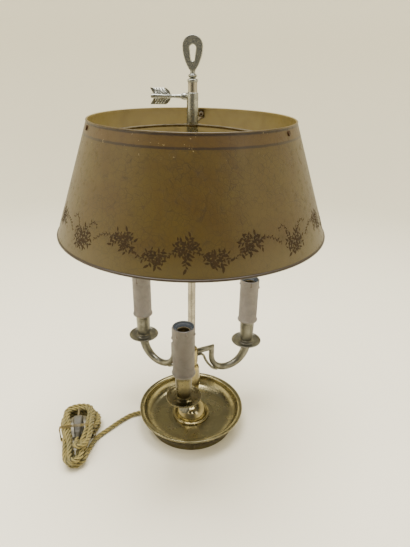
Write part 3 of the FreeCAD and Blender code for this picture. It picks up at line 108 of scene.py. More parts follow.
camera = place_camera((0.0574, -0.5506, 0.5155), 4.108, 25.254, 1.041)
print("lens %.2f mm" % camera.data.lens)

# %% [markdown]
# ## Tools for shader trees
# A shader tree is easier to read when each node is made in one line. `add` makes a node and
# fills its inputs: a number goes into the socket, and another node's output is wired to it.

# %% Shader helpers


def fill(tree, made, inputs):
    """Set a node's inputs to values, or wire other nodes' outputs to them."""
    for name, value in inputs.items():
        if isinstance(value, bpy.types.NodeSocket):
            tree.links.new(value, made.inputs[name])
        else:
            made.inputs[name].default_value = value


def add(tree, kind, inputs=None, **settings):
    """Make a node, set its properties, and fill or wire its inputs."""
    made = tree.nodes.new(kind)
    for name, value in settings.items():
        setattr(made, name, value)
    fill(tree, made, inputs or {})
    return made


def calc(tree, operation, *values):
    """One Math node; returns its value."""
    return add(tree, "ShaderNodeMath", dict(enumerate(values)), operation=operation).outputs[0]


def times(tree, first, second):
    return calc(tree, "MULTIPLY", first, second)


def plus(tree, first, second):
    return calc(tree, "ADD", first, second)


def minus(tree, first, second):
    return calc(tree, "SUBTRACT", first, second)


def split(tree, place):
    """The X, Y and Z of a place."""
    return add(tree, "ShaderNodeSeparateXYZ", {0: place}).outputs


def join(tree, x=0.0, y=0.0, z=0.0):
    return add(tree, "ShaderNodeCombineXYZ", {0: x, 1: y, 2: z}).outputs[0]


def distance(tree, x, y):
    """How far a point is from the upright axis that x and y are measured from."""
    return calc(tree, "SQRT", plus(tree, times(tree, x, x), times(tree, y, y)))


def object_place(tree):
    return tree.nodes.new("ShaderNodeTexCoord").outputs["Object"]


def ramp(tree, value, low, high, at_low=0.0, at_high=1.0, kind="LINEAR"):
    """From one value to another as the input goes from low to high."""
    return add(tree, "ShaderNodeMapRange", {"Value": value, "From Min": low, "From Max": high,
                                            "To Min": at_low, "To Max": at_high},
               interpolation_type=kind).outputs["Result"]


def smooth_step(tree, value, low, high, at_low=0.0, at_high=1.0):
    """The same with a soft start and end."""
    return ramp(tree, value, low, high, at_low, at_high, "SMOOTHSTEP")


def mix_colours(tree, share, first, second):
    """One Mix node on colours; returns its colour."""
    made = add(tree, "ShaderNodeMix", {0: share, 6: first, 7: second}, data_type="RGBA")
    return made.outputs[2]


def noise(tree, place, size, detail=3.0, roughness=0.55, distortion=0.0):
    """Noise whose blobs are about `size` metres across; returns its value."""
    wired = isinstance(size, bpy.types.NodeSocket)
    scale = calc(tree, "DIVIDE", 1.0, size) if wired else 1.0 / size
    return add(tree, "ShaderNodeTexNoise", {"Vector": place, "Scale": scale, "Detail": detail,
                                            "Roughness": roughness,
                                            "Distortion": distortion}).outputs[0]


def new_group(name, inputs, outputs):
    """An empty shader group with named sockets; returns it with its inner input and output."""
    tree = bpy.data.node_groups.new(name, "ShaderNodeTree")
    kinds = {"value": "NodeSocketFloat", "colour": "NodeSocketColor", "place": "NodeSocketVector"}
    for way, sockets in (("INPUT", inputs), ("OUTPUT", outputs)):
        for label, kind in sockets.items():
            tree.interface.new_socket(label, in_out=way, socket_type=kinds[kind])
    return tree, tree.nodes.new("NodeGroupInput").outputs, tree.nodes.new("NodeGroupOutput")


def use_group(tree, group, inputs):
    return add(tree, "ShaderNodeGroup", inputs, node_tree=group).outputs


def new_material(name, **constants):
    """A material with one Principled shader; returns it, its tree, shader and object place."""
    material = bpy.data.materials.new(name)
    material.use_nodes = True
    tree = material.node_tree
    shader = tree.nodes["Principled BSDF"]
    for socket, value in constants.items():
        shader.inputs[socket.replace("_", " ")].default_value = value
    return material, tree, shader, object_place(tree)


def finish_with(tree, shader, colour=None, roughness=None, height=None, depth=0.0001):
    """Wire colour, roughness and a bump of the given depth in metres to the shader."""
    if colour is not None:
        tree.links.new(colour, shader.inputs["Base Color"])
    if roughness is not None:
        tree.links.new(roughness, shader.inputs["Roughness"])
    if height is not None:
        bump = add(tree, "ShaderNodeBump", {"Height": height, "Strength": 1.0,
                                            "Distance": depth})
        tree.links.new(bump.outputs["Normal"], shader.inputs["Normal"])


print("helpers ready")

# %% [markdown]
# ## Effects that several finishes share
# Old polished brass is never one colour: handling and air leave cloudy olive patches, and a
# cloth leaves fine smears that change the gloss. One group makes both, and each brass part
# gives it its own colours and patch size.

# %% Shared effect: aged brass
aged, given, result = new_group(
    "Aged brass", {"Place": "place", "Clean": "colour", "Tarnish": "colour", "Patch": "value",
                   "Polish": "value", "Dull": "value"},
    {"Colour": "colour", "Roughness": "value", "Smears": "value"})
patches = noise(aged, given["Place"], given["Patch"], 5.0, 0.6, 0.4)
cloud = smooth_step(aged, patches, 0.40, 0.66)
specks = smooth_step(aged, noise(aged, given["Place"], 0.0016, 4.0), 0.60, 0.78)
colour = mix_colours(aged, cloud, given["Clean"], given["Tarnish"])
colour = mix_colours(aged, times(aged, specks, 0.35), colour, given["Tarnish"])
smears = noise(aged, given["Place"], 0.006, 6.0, 0.7, 1.5)
gloss = plus(aged, times(aged, cloud, 0.55), times(aged, smears, 0.45))
rough = ramp(aged, gloss, 0.1, 0.85, given["Polish"], given["Dull"])
fill(aged, result, {"Colour": colour, "Roughness": rough, "Smears": smears})
print("aged brass:", len(aged.nodes), "nodes")

# %% [markdown]
# Pieces spun or turned on a lathe keep fine rings round their axis. The group measures how far
# a point is from the axis and lays a thin, uneven noise along that radius, so the rings follow
# the dish's floor and its walls alike.

# %% Shared effect: turning rings
rings, given, result = new_group(
    "Turning rings", {"Place": "place", "Pitch": "value"}, {"Height": "value"})
x, y, z = split(rings, given["Place"])
flat_place = join(rings, distance(rings, x, y), z)
fill(rings, result, {"Height": noise(rings, flat_place, given["Pitch"], 4.0, 0.7)})
print("turning rings:", len(rings.nodes), "nodes")

# %% [markdown]
# The shade's old paint is crazed all over with hair-thin cracks. Voronoi cells give their
# edges as a distance, and a little noise on the coordinates keeps the cells from looking like
# a honeycomb. A second noise lets the cracks fade out in places.

# %% Shared effect: crazing
crazed, given, result = new_group(
    "Crazing", {"Place": "place", "Cell": "value", "Width": "value", "Bend": "value"},
    {"Crack": "value"})
wander = add(crazed, "ShaderNodeTexNoise", {"Vector": given["Place"], "Scale": 160.0,
                                            "Detail": 2.0}).outputs["Color"]
wander = add(crazed, "ShaderNodeVectorMath", {0: wander, "Scale": given["Bend"]},
             operation="SCALE").outputs[0]
bent = add(crazed, "ShaderNodeVectorMath", {0: given["Place"], 1: wander},
           operation="ADD").outputs[0]
edge = add(crazed, "ShaderNodeTexVoronoi",
           {"Vector": bent, "Scale": calc(crazed, "DIVIDE", 1.0, given["Cell"])},
           feature="DISTANCE_TO_EDGE").outputs["Distance"]
line = ramp(crazed, edge, 0.0, given["Width"], 1.0, 0.0)
fade = smooth_step(crazed, noise(crazed, given["Place"], 0.028), 0.36, 0.64, 0.45, 1.0)
fill(crazed, result, {"Crack": times(crazed, line, fade)})
print("crazing:", len(crazed.nodes), "nodes")

# %% [markdown]
# ## Brass finishes
# The dish and the turned stem are a deeper golden brass, the arms and cups a paler olive, and
# the column the palest; the front cup and its drip pan take a darker copy, painted shade under
# the lampshade. The finial, the carrier and the thumb-screw are greyer, the bracket under them
# darker. All are the same tree with other numbers. A painted shadow darkens the dish's foot
# where it meets the table.

# %% Brass materials
BAND_PITCHES = 6


def brass(name, clean, tarnish, patch, polish, dull, pitch=None, depth=2e-5):
    material, tree, shader, place = new_material(name, Metallic=1.0)
    look = use_group(tree, aged, {"Place": place, "Clean": clean, "Tarnish": tarnish,
                                  "Patch": patch, "Polish": polish, "Dull": dull})
    colour, height = look["Colour"], look["Smears"]
    if pitch is not None:
        height, bands = (use_group(tree, rings, {"Place": place, "Pitch": wide})["Height"]
                         for wide in (pitch, pitch * BAND_PITCHES))
        colour = mix_colours(tree, smooth_step(tree, bands, 0.42, 0.62, 0.0, 0.65), colour,
                             tarnish)
    finish_with(tree, shader, colour, look["Roughness"], height, depth)
    return material


def tint(material, mask, colour):
    """Lay a colour over a finished material where the mask is 1."""
    shader = material.node_tree.nodes["Principled BSDF"]
    surface = shader.inputs["Base Color"].links[0].from_socket
    material.node_tree.links.new(mix_colours(material.node_tree, mask, surface, colour),
                                 shader.inputs["Base Color"])


dish_brass = brass("Dish brass", (0.33, 0.29, 0.155, 1), (0.18, 0.160, 0.088, 1), 0.030,
                   0.18, 0.36, pitch=0.0016, depth=5e-5)
stem_brass = brass("Stem brass", (0.34, 0.285, 0.14, 1), (0.21, 0.175, 0.09, 1), 0.016,
                   0.12, 0.26, pitch=0.0010)
arm_brass = brass("Arm brass", (0.185, 0.178, 0.140, 1), (0.12, 0.115, 0.092, 1), 0.012,
                  0.30, 0.50, depth=4e-5)
# A darker copy of the arm brass for the front cup and pan: painted shade under the lampshade.
front_shaded_brass = brass("Front brass with painted shade", (0.125, 0.106, 0.052, 1), (0.080, 0.068, 0.036, 1), 0.012,
                  0.22, 0.42, depth=4e-5)
column_brass = brass("Column brass", (0.31, 0.285, 0.225, 1), (0.245, 0.225, 0.178, 1), 0.014,
                     0.20, 0.36)
top_brass = brass("Grey brass", (0.33, 0.335, 0.295, 1), (0.25, 0.253, 0.225, 1), 0.010,
                  0.20, 0.38, depth=2e-5)
spider_brass = brass("Dark brass", (0.10, 0.072, 0.030, 1), (0.06, 0.042, 0.018, 1), 0.008,
                     0.38, 0.58)
screw_brown = brass("Painted screw", (0.060, 0.035, 0.020, 1), (0.035, 0.020, 0.012, 1), 0.004,
                    0.40, 0.60)
contact_brass = brass("Contact brass", (0.30, 0.25, 0.15, 1), (0.17, 0.14, 0.08, 1), 0.006,
                      0.35, 0.55)
plated_steel = brass("Plated steel", (0.60, 0.60, 0.58, 1), (0.38, 0.38, 0.37, 1), 0.008,
                     0.25, 0.45)
cast_iron = brass("Cast iron", (0.20, 0.20, 0.20, 1), (0.10, 0.09, 0.08, 1), 0.005,
                  0.55, 0.75, depth=2e-4)
# Painted shadow: the dish's outer wall darkens low down, where it meets the table.
tree = dish_brass.node_tree
x, y, z = split(tree, object_place(tree))
foot = times(tree, smooth_step(tree, distance(tree, x, y), 0.0615, 0.0635),
             smooth_step(tree, z, 0.012, 0.017, 0.75, 0.0))
tint(dish_brass, foot, (0.085, 0.070, 0.036, 1))
print("brass finishes:", dish_brass.name, arm_brass.name, column_brass.name)

# %% [markdown]
# ## The shade's paint
# The sheet is painted mustard, warmer in some places than in others, with a brown line at the
# top edge and another below it, and a redder band between the two. Height and radius come
# from the object's own coordinates, so lines stay level. The inside, found by its radius, is a
# plainer olive. The paint is paler and greyer towards the foot, and small chips near the top
# show bright metal.

# %% Shade paint
SHADE_TOP = 0.4535
SHADE_BOTTOM = 0.3236
SHADE_SLOPE = (SHADE_RADIUS - 0.1204) / (SHADE_TOP - SHADE_BOTTOM)

paint, tree, shader, place = new_material("Shade paint", Coat_Weight=0.06, Coat_Roughness=0.3,
                                          Specular_IOR_Level=0.35)
x, y, level = split(tree, place)
above_foot = minus(tree, level, SHADE_BOTTOM)
outer = minus(tree, SHADE_RADIUS, times(tree, above_foot, SHADE_SLOPE))
inside = smooth_step(tree, minus(tree, outer, distance(tree, x, y)), 0.00035, 0.00055)


def lay(share, colour, strength=1.0):
    """Lay a colour over the ground where the share is 1."""
    return mix_colours(tree, times(tree, share, strength), ground, colour)


warm = smooth_step(tree, noise(tree, place, 0.055, 3.0, 0.6, 0.6), 0.38, 0.66)
ground = mix_colours(tree, warm, (0.066, 0.043, 0.0058, 1), (0.058, 0.034, 0.0046, 1))
grime = smooth_step(tree, noise(tree, place, 0.007, 5.0, 0.7), 0.45, 0.75)
ground = lay(grime, (0.034, 0.024, 0.007, 1), 0.25)
crack, fine_crack = (
    use_group(tree, crazed, {"Place": place, "Cell": cell, "Width": width, "Bend": bend})["Crack"]
    for cell, width, bend in ((0.0062, 0.055, 0.0022), (0.0030, 0.08, 0.0012)))
cracks = calc(tree, "MAXIMUM", crack, times(tree, fine_crack, 0.45))
ground = lay(cracks, (0.014, 0.0095, 0.0040, 1), 0.62)
# The paint turns paler and greyer towards the foot.
paler_foot = smooth_step(tree, above_foot, 0.004, 0.034, 0.40, 0.0)
ground = lay(paler_foot, (0.100, 0.078, 0.030, 1))
uneven = times(tree, noise(tree, place, 0.012, 2.0), 0.0009)
drop = plus(tree, minus(tree, SHADE_TOP, level), uneven)


def between(start, full, fading, end):
    """A stripe: 1 from one drop below the top to another, with soft edges."""
    return times(tree, smooth_step(tree, drop, start, full),
                 smooth_step(tree, drop, fading, end, 1.0, 0.0))


ground = lay(between(0.0, 0.003, 0.0122, 0.0135), (0.068, 0.033, 0.007, 1), 0.40)
foot_line = smooth_step(tree, above_foot, 0.0015, 0.0024, 1.0, 0.0)
lines = calc(tree, "MAXIMUM", calc(tree, "MAXIMUM", between(0.0002, 0.0008, 0.0024, 0.0032),
                                   between(0.0120, 0.0126, 0.0143, 0.0150)), foot_line)
ground = lay(lines, (0.018, 0.010, 0.0045, 1), 0.85)
chip_noise = smooth_step(tree, noise(tree, place, 0.0035, 3.0, 0.6), 0.665, 0.69)
chip_area = smooth_step(tree, noise(tree, place, 0.030, 1.0), 0.50, 0.56)
near_top = smooth_step(tree, drop, 0.019, 0.026, 1.0, 0.0)
ground = lay(times(tree, times(tree, chip_noise, chip_area), near_top), (0.24, 0.18, 0.08, 1))
lining = mix_colours(tree, warm, (0.185, 0.140, 0.040, 1), (0.150, 0.110, 0.030, 1))
relief = minus(tree, times(tree, noise(tree, place, 0.004, 4.0), 0.3), times(tree, cracks, 0.8))
finish_with(tree, shader, mix_colours(tree, inside, ground, lining),
            smooth_step(tree, grime, 0.0, 1.0, 0.40, 0.58), relief, 6e-5)
print("shade paint:", len(tree.nodes), "nodes")

# %% [markdown]
# ## Wax, moulded plastic, felt and cord
# The candle sleeves are card tubes dipped in ivory wax, greyed and mottled with age. A painted
# shade darkens the wall inside each sleeve's mouth, and the whole front sleeve, which the
# lampshade keeps from the light. The lamp holders are slate-blue mouldings, the plug a grey
# olive one. The felt under the foot is a dense green cloth.

# %% Wax and mouldings


def moulded(name, colour, mottle, size, low, high, relief_size=0.0008, depth=3e-5, **constants):
    """A plain material whose colour and gloss drift a little over the surface."""
    material, tree, shader, place = new_material(name, **constants)
    drift = smooth_step(tree, noise(tree, place, size, 5.0, 0.65, 0.5), 0.36, 0.68)
    surface = mix_colours(tree, drift, colour, mottle)
    rough = ramp(tree, drift, 0.0, 1.0, low, high)
    finish_with(tree, shader, surface, rough, noise(tree, place, relief_size, 4.0, 0.7), depth)
    return material


wax = moulded("Ivory wax", (0.195, 0.175, 0.152, 1), (0.155, 0.138, 0.122, 1), 0.012, 0.42, 0.62,
              relief_size=0.005, depth=1e-4, Subsurface_Weight=0.08,
              Subsurface_Scale=0.002)
WAX_INSIDE = 0.0129


def sleeve_centre(arm):
    """Where an arm's candle stands, as x and y."""
    turn = math.radians(ARM_ANGLES[arm])
    return ARM_REACH * math.sin(turn), -ARM_REACH * math.cos(turn)


def paint_sleeve_shade(material):
    """Paint shade on the front sleeve's wax, and inside every sleeve's mouth, by place."""
    tree = material.node_tree
    x, y, _ = split(tree, object_place(tree))
    # Painted shade: the front sleeve is darker, as the lampshade keeps the light off it.
    tint(material, smooth_step(tree, y, -0.050, -0.030, 0.50, 0.0), (0.050, 0.040, 0.026, 1))
    nearest = ARM_REACH
    for arm in ARMS:
        east, north = sleeve_centre(arm)
        nearest = calc(tree, "MINIMUM", nearest,
                       distance(tree, minus(tree, x, east), minus(tree, y, north)))
    # Painted shade on the wall inside each sleeve's mouth.
    tint(material, smooth_step(tree, nearest, WAX_INSIDE - 0.0002, WAX_INSIDE, 1.0, 0.0),
         (0.020, 0.026, 0.034, 1))


paint_sleeve_shade(wax)
wax_drip = moulded("Wax drips", (0.135, 0.112, 0.093, 1), (0.095, 0.076, 0.062, 1), 0.003, 0.35,
                   0.55, relief_size=0.002, depth=1e-4)
slate = moulded("Slate moulding", (0.014, 0.021, 0.031, 1), (0.022, 0.030, 0.042, 1), 0.004,
                0.42, 0.6)
bushing_brown = moulded("Brown moulding", (0.060, 0.035, 0.018, 1), (0.035, 0.022, 0.014, 1),
                        0.003, 0.35, 0.5)
plug_grey = moulded("Plug moulding", (0.085, 0.078, 0.055, 1), (0.062, 0.057, 0.040, 1), 0.006,
                    0.5, 0.65)
felt_green = moulded("Green felt", (0.030, 0.065, 0.036, 1), (0.018, 0.042, 0.024, 1), 0.0012,
                     0.9, 1.0, relief_size=0.0004, depth=3e-4)
wire_cover = moulded("Wire cover", (0.30, 0.22, 0.10, 1), (0.22, 0.16, 0.08, 1), 0.004, 0.5, 0.7)
print("mouldings:", wax.name, slate.name, plug_grey.name)

# %% [markdown]
# The cord is twisted from silk-covered strands. Each strand carries its own map: along it in
# metres, and round it. Fine threads run round the strand at a slant, and the straw-gold colour
# pales and greys in stretches, where hands and light have been at it. The grooves between the
# strands, on the side of each strand that faces the others, are darkened with painted shade.

# %% Silk cord
THREADS_PER_METRE = 1500.0
def silk(name, bright, dull, deep):
    material, tree, shader, place = new_material(name, Sheen_Weight=0.15, Sheen_Roughness=0.4)
    u, v, _ = split(tree, add(tree, "ShaderNodeUVMap", uv_map="Strand").outputs["UV"])
    slant = plus(tree, times(tree, u, THREADS_PER_METRE), v)
    thread = calc(tree, "SINE", times(tree, slant, TURN))
    thread = times(tree, plus(tree, thread, 1.0), 0.5)
    worn = smooth_step(tree, noise(tree, place, 0.018, 3.0, 0.6), 0.38, 0.64)
    surface = mix_colours(tree, worn, bright, dull)
    fibre = noise(tree, place, 0.0009, 4.0, 0.7)
    surface = mix_colours(tree, smooth_step(tree, fibre, 0.45, 0.75, 0.0, 0.6), surface, deep)
    surface = mix_colours(tree, times(tree, thread, 0.30), surface, deep)
    # Painted shade on the side of each strand that faces the others.
    turned = calc(tree, "ABSOLUTE", minus(tree, v, 0.5))
    groove_shade = smooth_step(tree, turned, 0.20, 0.36, 0.85, 0.0)
    surface = mix_colours(tree, groove_shade, surface, deep)
    rough = smooth_step(tree, fibre, 0.3, 0.7, 0.48, 0.72)
    finish_with(tree, shader, surface, rough, plus(tree, thread, fibre), 1.2e-4)
    return material


silk_gold = silk("Silk cord", (0.32, 0.250, 0.062, 1), (0.22, 0.185, 0.060, 1),
                 (0.042, 0.032, 0.010, 1))
silk_tie = silk("Tie twine", (0.38, 0.28, 0.06, 1), (0.30, 0.22, 0.06, 1),
                (0.08, 0.055, 0.015, 1))
print("cord finishes:", silk_gold.name, silk_tie.name)

# %% [markdown]
# ## Dressing the solid pieces
# The solid model's pieces keep their shapes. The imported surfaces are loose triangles, so each
# visible metal piece gets a merged copy, smooth except at real edges, which stands for it.

# %% Dress the nodes
BODY_OF = {node: body for body, members in frame["record"]["behaviour"]["bodies"].items()
           for node in members}
SLOT_OF = {part["node"]: part["material_slot"] for part in frame["record"]["subparts"]}
SLOT_FINISH = {
    "dish_brass": dish_brass, "arm_brass": arm_brass, "column_brass": column_brass,
    "plated_steel": plated_steel, "contact_brass": contact_brass, "cast_iron": cast_iron,
    "green_felt": felt_green, "candle_card": wax, "slate_moulding": slate,
    "shade_paint": paint, "silk_cord": silk_gold, "cotton_tie": silk_tie,
    "wire_cover": wire_cover, "bushing_moulding": bushing_brown, "plug_moulding": plug_grey,
}


def dress(obj, material):
    obj.data.materials.clear()
    obj.data.materials.append(material)


for name, node in nodes.items():
    dress(node, SLOT_FINISH[SLOT_OF[name]])
for name in ("stem_dome", "stem_baluster", "arm_hub"):
    dress(nodes[name], stem_brass)
print(len(nodes), "nodes dressed")
def mesh_piece(name, mesh, material, body):
    """A visible piece that rides on a body, with its material."""
    piece = show(name, mesh)
    dress(piece, material)
    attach(piece, body)
    return piece


def smoothed(name, material, sharp_degrees, rounding):
    """A merged, smoothly shaded copy of a node that stands for it."""
    loose = nodes[name].data.copy()
    holder = show("holder", loose)
    holder.modifiers.new("Weld", "WELD").merge_threshold = 1e-6
    if rounding:
        remesh = holder.modifiers.new("Remesh", "REMESH")
        remesh.mode = "VOXEL"
        remesh.voxel_size = rounding
        soften = holder.modifiers.new("Smooth", "SMOOTH")
        soften.factor = 0.5
        soften.iterations = 14
    merged = evaluated_mesh(holder)
    bpy.data.objects.remove(holder)
    bpy.data.meshes.remove(loose)
    merged.shade_smooth()
    merged.set_sharp_from_angle(angle=math.radians(sharp_degrees))
    piece = mesh_piece(name + "_smooth", merged, material, BODY_OF[name])
    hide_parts(name)


# %% [markdown]
# The finial's ring was filed round by hand, so its copy is remeshed finely and softened.

# %% Smooth copies of the visible pieces
SHARP = {"finial": 60.0}
ROUNDING = {"finial": 0.0004}
SHARP_ELSEWHERE = 28.0
SMOOTH = {"dish_base": dish_brass, "stem_dome": stem_brass, "stem_baluster": stem_brass,
          "arm_hub": stem_brass, "column": column_brass, "finial": top_brass,
          "shade_carrier": top_brass, "thumb_screw": top_brass, "spider": spider_brass,
          "shade_screws": screw_brown, "plug_body": plug_grey}
for arm in ARMS:
    SMOOTH["arm_" + arm] = arm_brass
    SMOOTH["drip_pan_" + arm] = arm_brass
    SMOOTH["candle_cup_" + arm] = arm_brass
    SMOOTH["candle_sleeve_" + arm] = wax
    SMOOTH["lamp_holder_" + arm] = slate
# Painted shade: the front cup and drip pan take the darker brass.
for name in ("drip_pan_front", "candle_cup_front"):
    SMOOTH[name] = front_shaded_brass
for name, material in SMOOTH.items():
    smoothed(name, material, SHARP.get(name, SHARP_ELSEWHERE), ROUNDING.get(name, 0.0))
print(len(SMOOTH), "smooth copies")

# %% [markdown]
# The shade is spun anew from its own section, with many more steps round than the packed
# surface has: a straight sheet between two rolled beads, closed all the way round.

# %% Shade
BEADS = [((0.1646, 0.3236), 0.0015), ((0.1200, 0.4535), 0.0011)]
WALL = 0.0004
SHADE_STEPS = 384


def shade_section(arc_steps=16):
    """The closed outline of the sheet and its beads, as (radius, height) in metres."""
    (low, low_radius), (high, high_radius) = BEADS
    up = (Vector(high) - Vector(low)).normalized()
    out = Vector((up.y, -up.x))
    outline = []
    for centre, radius, way in ((high, high_radius, 1), (low, low_radius, -1)):
        gap = math.asin(WALL / radius)
        for step in range(arc_steps + 1):
            angle = math.pi - gap - step * 2 * (math.pi - gap) / arc_steps
            spot = Vector(centre) + way * radius * (up * math.cos(angle) - out * math.sin(angle))
            outline.append(spot)
    return outline


def spun(name, outline, steps):
    """A closed outline turned round the Z axis."""
    corners, faces = [], []
    count = len(outline)
    for turn in range(steps):
        angle = TURN * turn / steps
        corners += [(x * math.cos(angle), x * math.sin(angle), z) for x, z in outline]
    for turn in range(steps):
        here, there = turn * count, (turn + 1) % steps * count
        for k in range(count):
            after = (k + 1) % count
            faces.append((here + k, there + k, there + after, here + after))
    mesh = smooth_mesh(name, corners, faces)
    mesh.set_sharp_from_angle(angle=math.radians(40))
    return mesh


shade_piece = mesh_piece("shade_spun", spun("shade_spun", shade_section(), SHADE_STEPS), paint,
                         BODY_OF["shade"])
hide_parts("shade")
print("shade:", len(shade_piece.data.polygons), "faces")

# %% [markdown]
# ## The cord
# One silk-covered cord leaves the foot's bushing, runs over the table and is wound into a
# loose hank, with its plug in the hank's eye. Its centre line is one smooth spline: the route's
# points first, then sixteen points for each turn of the hank, then the tail to the plug.

# %% Cord route
CORD_DIAMETER = 0.0054
CORD_LAY = 0.0215
HANK_CENTRE = Vector((-0.1623, -0.0590, 0.0))
HANK_TURN = math.radians(14.3)


def in_hank(x, y, z):
    """A point of the hank's own frame, given in millimetres, on the table in metres."""
    turned = Matrix.Rotation(HANK_TURN, 3, "Z") @ Vector((x, y, 0)) * 0.001
    return HANK_CENTRE + turned + Vector((0, 0, z * 0.001))


ROUTE = [
    (-0.0665, 0.0000, 0.0060),
    (-0.0760, 0.0000, 0.0060),
    (-0.0860, -0.0008, 0.0039),
    (-0.0966, -0.0067, 0.0037),
    (-0.1060, -0.0172, 0.0037),
    (-0.1142, -0.0276, 0.0037),
    (-0.1234, -0.0406, 0.0037),
]
APPROACH = [in_hank(27.2, -4.0, 3.7), in_hank(18.5, -22.0, 4.0)]
print("route points:", len(ROUTE) + len(APPROACH))

# %% [markdown]
# The hank's turns follow one oval, wide at the eye and narrow at the folds. Each turn lies one
# cord nearer the middle than the last, and every one and a half turns the cord steps up a
# layer. Nothing ties the folds, so there the turns close to narrow loops that lean to one side
# and lie across each other; the upper ones reach further out and sag. A fixed seed shifts each
# fold a little.

# %% Turns of the hank
OVAL = [(21.0, 0.0), (18.6, -17.0), (16.0, -36.0), (11.8, -52.0), (0.0, -57.5), (-11.8, -52.0),
        (-16.0, -36.0), (-18.6, -17.0), (-21.0, 0.0), (-24.2, 15.0), (-26.0, 31.0),
        (-18.5, 48.5), (0.0, 54.5), (18.5, 48.5), (26.0, 31.0), (24.2, 15.0)]
STEP_IN = 6.3
STEP_UP = 5.85
LOWEST = 4.9
LAYERS = 4
TURN_POINTS = len(OVAL)
LAYER_POINTS = TURN_POINTS * 3 // 2


def ease(value, start, end):
    """A soft step from 0 at the start to 1 at the end."""
    share = min(1.0, max(0.0, (value - start) / (end - start)))
    return share * share * (3 - 2 * share)


# For each layer: sideways lean and reach of its folds, their sag, how far its legs close in,
# and how far its right and left sides spread beside the eye
FANNED = [(-1.0, 0.0, 0.0, 1.5, 8.5, 1.5), (4.2, 2.5, 1.5, 3.0, 5.5, 0.5),
          (-3.4, 4.5, 3.0, 2.0, 0.0, -2.0), (1.0, 6.0, 5.0, 4.0, -4.5, -4.5)]
LEG = 16.0
NARROWEST = 8.6


def hank_point(count, wobble):
    """The hank's centre line after so many sixteenths of a turn, as (x, y, z) millimetres."""
    layer, step = divmod(count, LAYER_POINTS)
    travelled = step if layer % 2 == 0 else LAYER_POINTS - step
    inward = STEP_IN * travelled / TURN_POINTS
    x, y = OVAL[count % TURN_POINTS]
    shrink = 1.0 - inward / math.hypot(x, y)
    height = LOWEST + STEP_UP * layer
    rise = LAYER_POINTS - step
    if rise <= 2 and layer < LAYERS - 1:
        height += STEP_UP * (3 - rise) / 3.0
    lean, reach, sag, close, right, left = FANNED[min(layer, LAYERS - 1)]
    side = math.copysign(1.0, x)
    narrow = max(abs(x) * (1.0 - (inward + close) / LEG),
                 min(abs(x), NARROWEST) * ease(y, -40.0, -50.0))
    low = ease(y, -5.0, -34.0)
    folded = ease(y, -26.0, -50.0)
    spread = (right if x > 0 else left) * ease(y, 3.0, 18.0) * ease(y, 50.0, 32.0)
    x = side * (abs(x) * shrink * (1.0 - low) + narrow * low + spread) + lean * low
    y *= shrink
    bent = abs(y) / 50.0 * ease(abs(y), 20.0, 45.0)
    y -= 2.4 * max(0, layer - 1) * ease(y, 34.0, 50.0)
    return (x + wobble[0] * bent, y - reach * folded + wobble[1] * bent,
            height - sag * folded + wobble[2] * bent)


WOBBLE_POINTS = 8
random.seed(11)
hank_points = []
wobble = (0.0, 0.0, 0.0)
for count in range(3, LAYER_POINTS * LAYERS + 1):
    if count % WOBBLE_POINTS == 0:
        wobble = (random.uniform(-1.0, 1.0), random.uniform(-1.6, 1.0), random.uniform(-0.2, 0.8))
    hank_points.append(in_hank(*hank_point(count, wobble)))
top_level = LOWEST + STEP_UP * (LAYERS - 1)
TAIL = [in_hank(18.4, -24.0, top_level + 2.2), in_hank(15.5, -36.0, top_level + 4.6),
        in_hank(8.0, -43.5, top_level + 5.85), in_hank(0.8, -41.5, top_level + 5.6),
        in_hank(0.0, -33.5, top_level + 3.4), in_hank(0.0, -22.0, 14.2),
        in_hank(0.0, -16.5, 13.5), in_hank(0.0, -12.0, 13.5)]
cord_points = [Vector(p) for p in ROUTE] + APPROACH + hank_points + TAIL
print("spline points:", len(cord_points))

# %% [markdown]
# A spline without thickness, read back as a mesh, gives closely spaced points on the curve.
# They are spaced out evenly, so that a twist along them keeps its pitch.

# %% Centre line


def smooth_line(points, spacing):
    """Even points along one NURBS spline of order 3 through its control points' hull."""
    data = bpy.data.curves.new("line", "CURVE")
    data.dimensions = "3D"
    data.resolution_u = 10
    spline = data.splines.new("NURBS")
    spline.points.add(len(points) - 1)
    for knot, point in zip(spline.points, points):
        knot.co = (*point, 1.0)
    spline.order_u = 3
    spline.use_endpoint_u = True
    holder = show("line", data)
    mesh = evaluated_mesh(holder)
    raw = [v.co.copy() for v in mesh.vertices]
    bpy.data.objects.remove(holder)
    bpy.data.meshes.remove(mesh)
    walked = [0.0]
    for a, b in zip(raw, raw[1:]):
        walked.append(walked[-1] + (b - a).length)
    count = max(2, int(walked[-1] / spacing))
    even, index = [raw[0]], 1
    for step in range(1, count):
        target = walked[-1] * step / count
        while walked[index] < target:
            index += 1
        share = (target - walked[index - 1]) / (walked[index] - walked[index - 1])
        even.append(raw[index - 1].lerp(raw[index], share))
    even.append(raw[-1])
    return even, walked[-1]


LINE_STEP = 0.0011
cord_line, cord_length = smooth_line(cord_points, LINE_STEP)
print("cord length %.4f m, %d points" % (cord_length, len(cord_line)))

# %% [markdown]
# The strands are swept round the centre line. A frame is carried along the line without
# twisting it, and each strand's place turns steadily in that frame: that is the lay of the
# cord. Each strand is a round tube with closed ends, and all strands make one mesh.

# %% Strands


def carried_frames(line):
    """Two directions square to the line at each point, carried along without twist."""
    ways = [(b - a).normalized() for a, b in zip(line, line[1:])]
    ways.append(ways[-1])
    side = ways[0].orthogonal().normalized()
    frames = []
    for way in ways:
        side = (side - way * side.dot(way)).normalized()
        frames.append((way, side, way.cross(side)))
    return frames


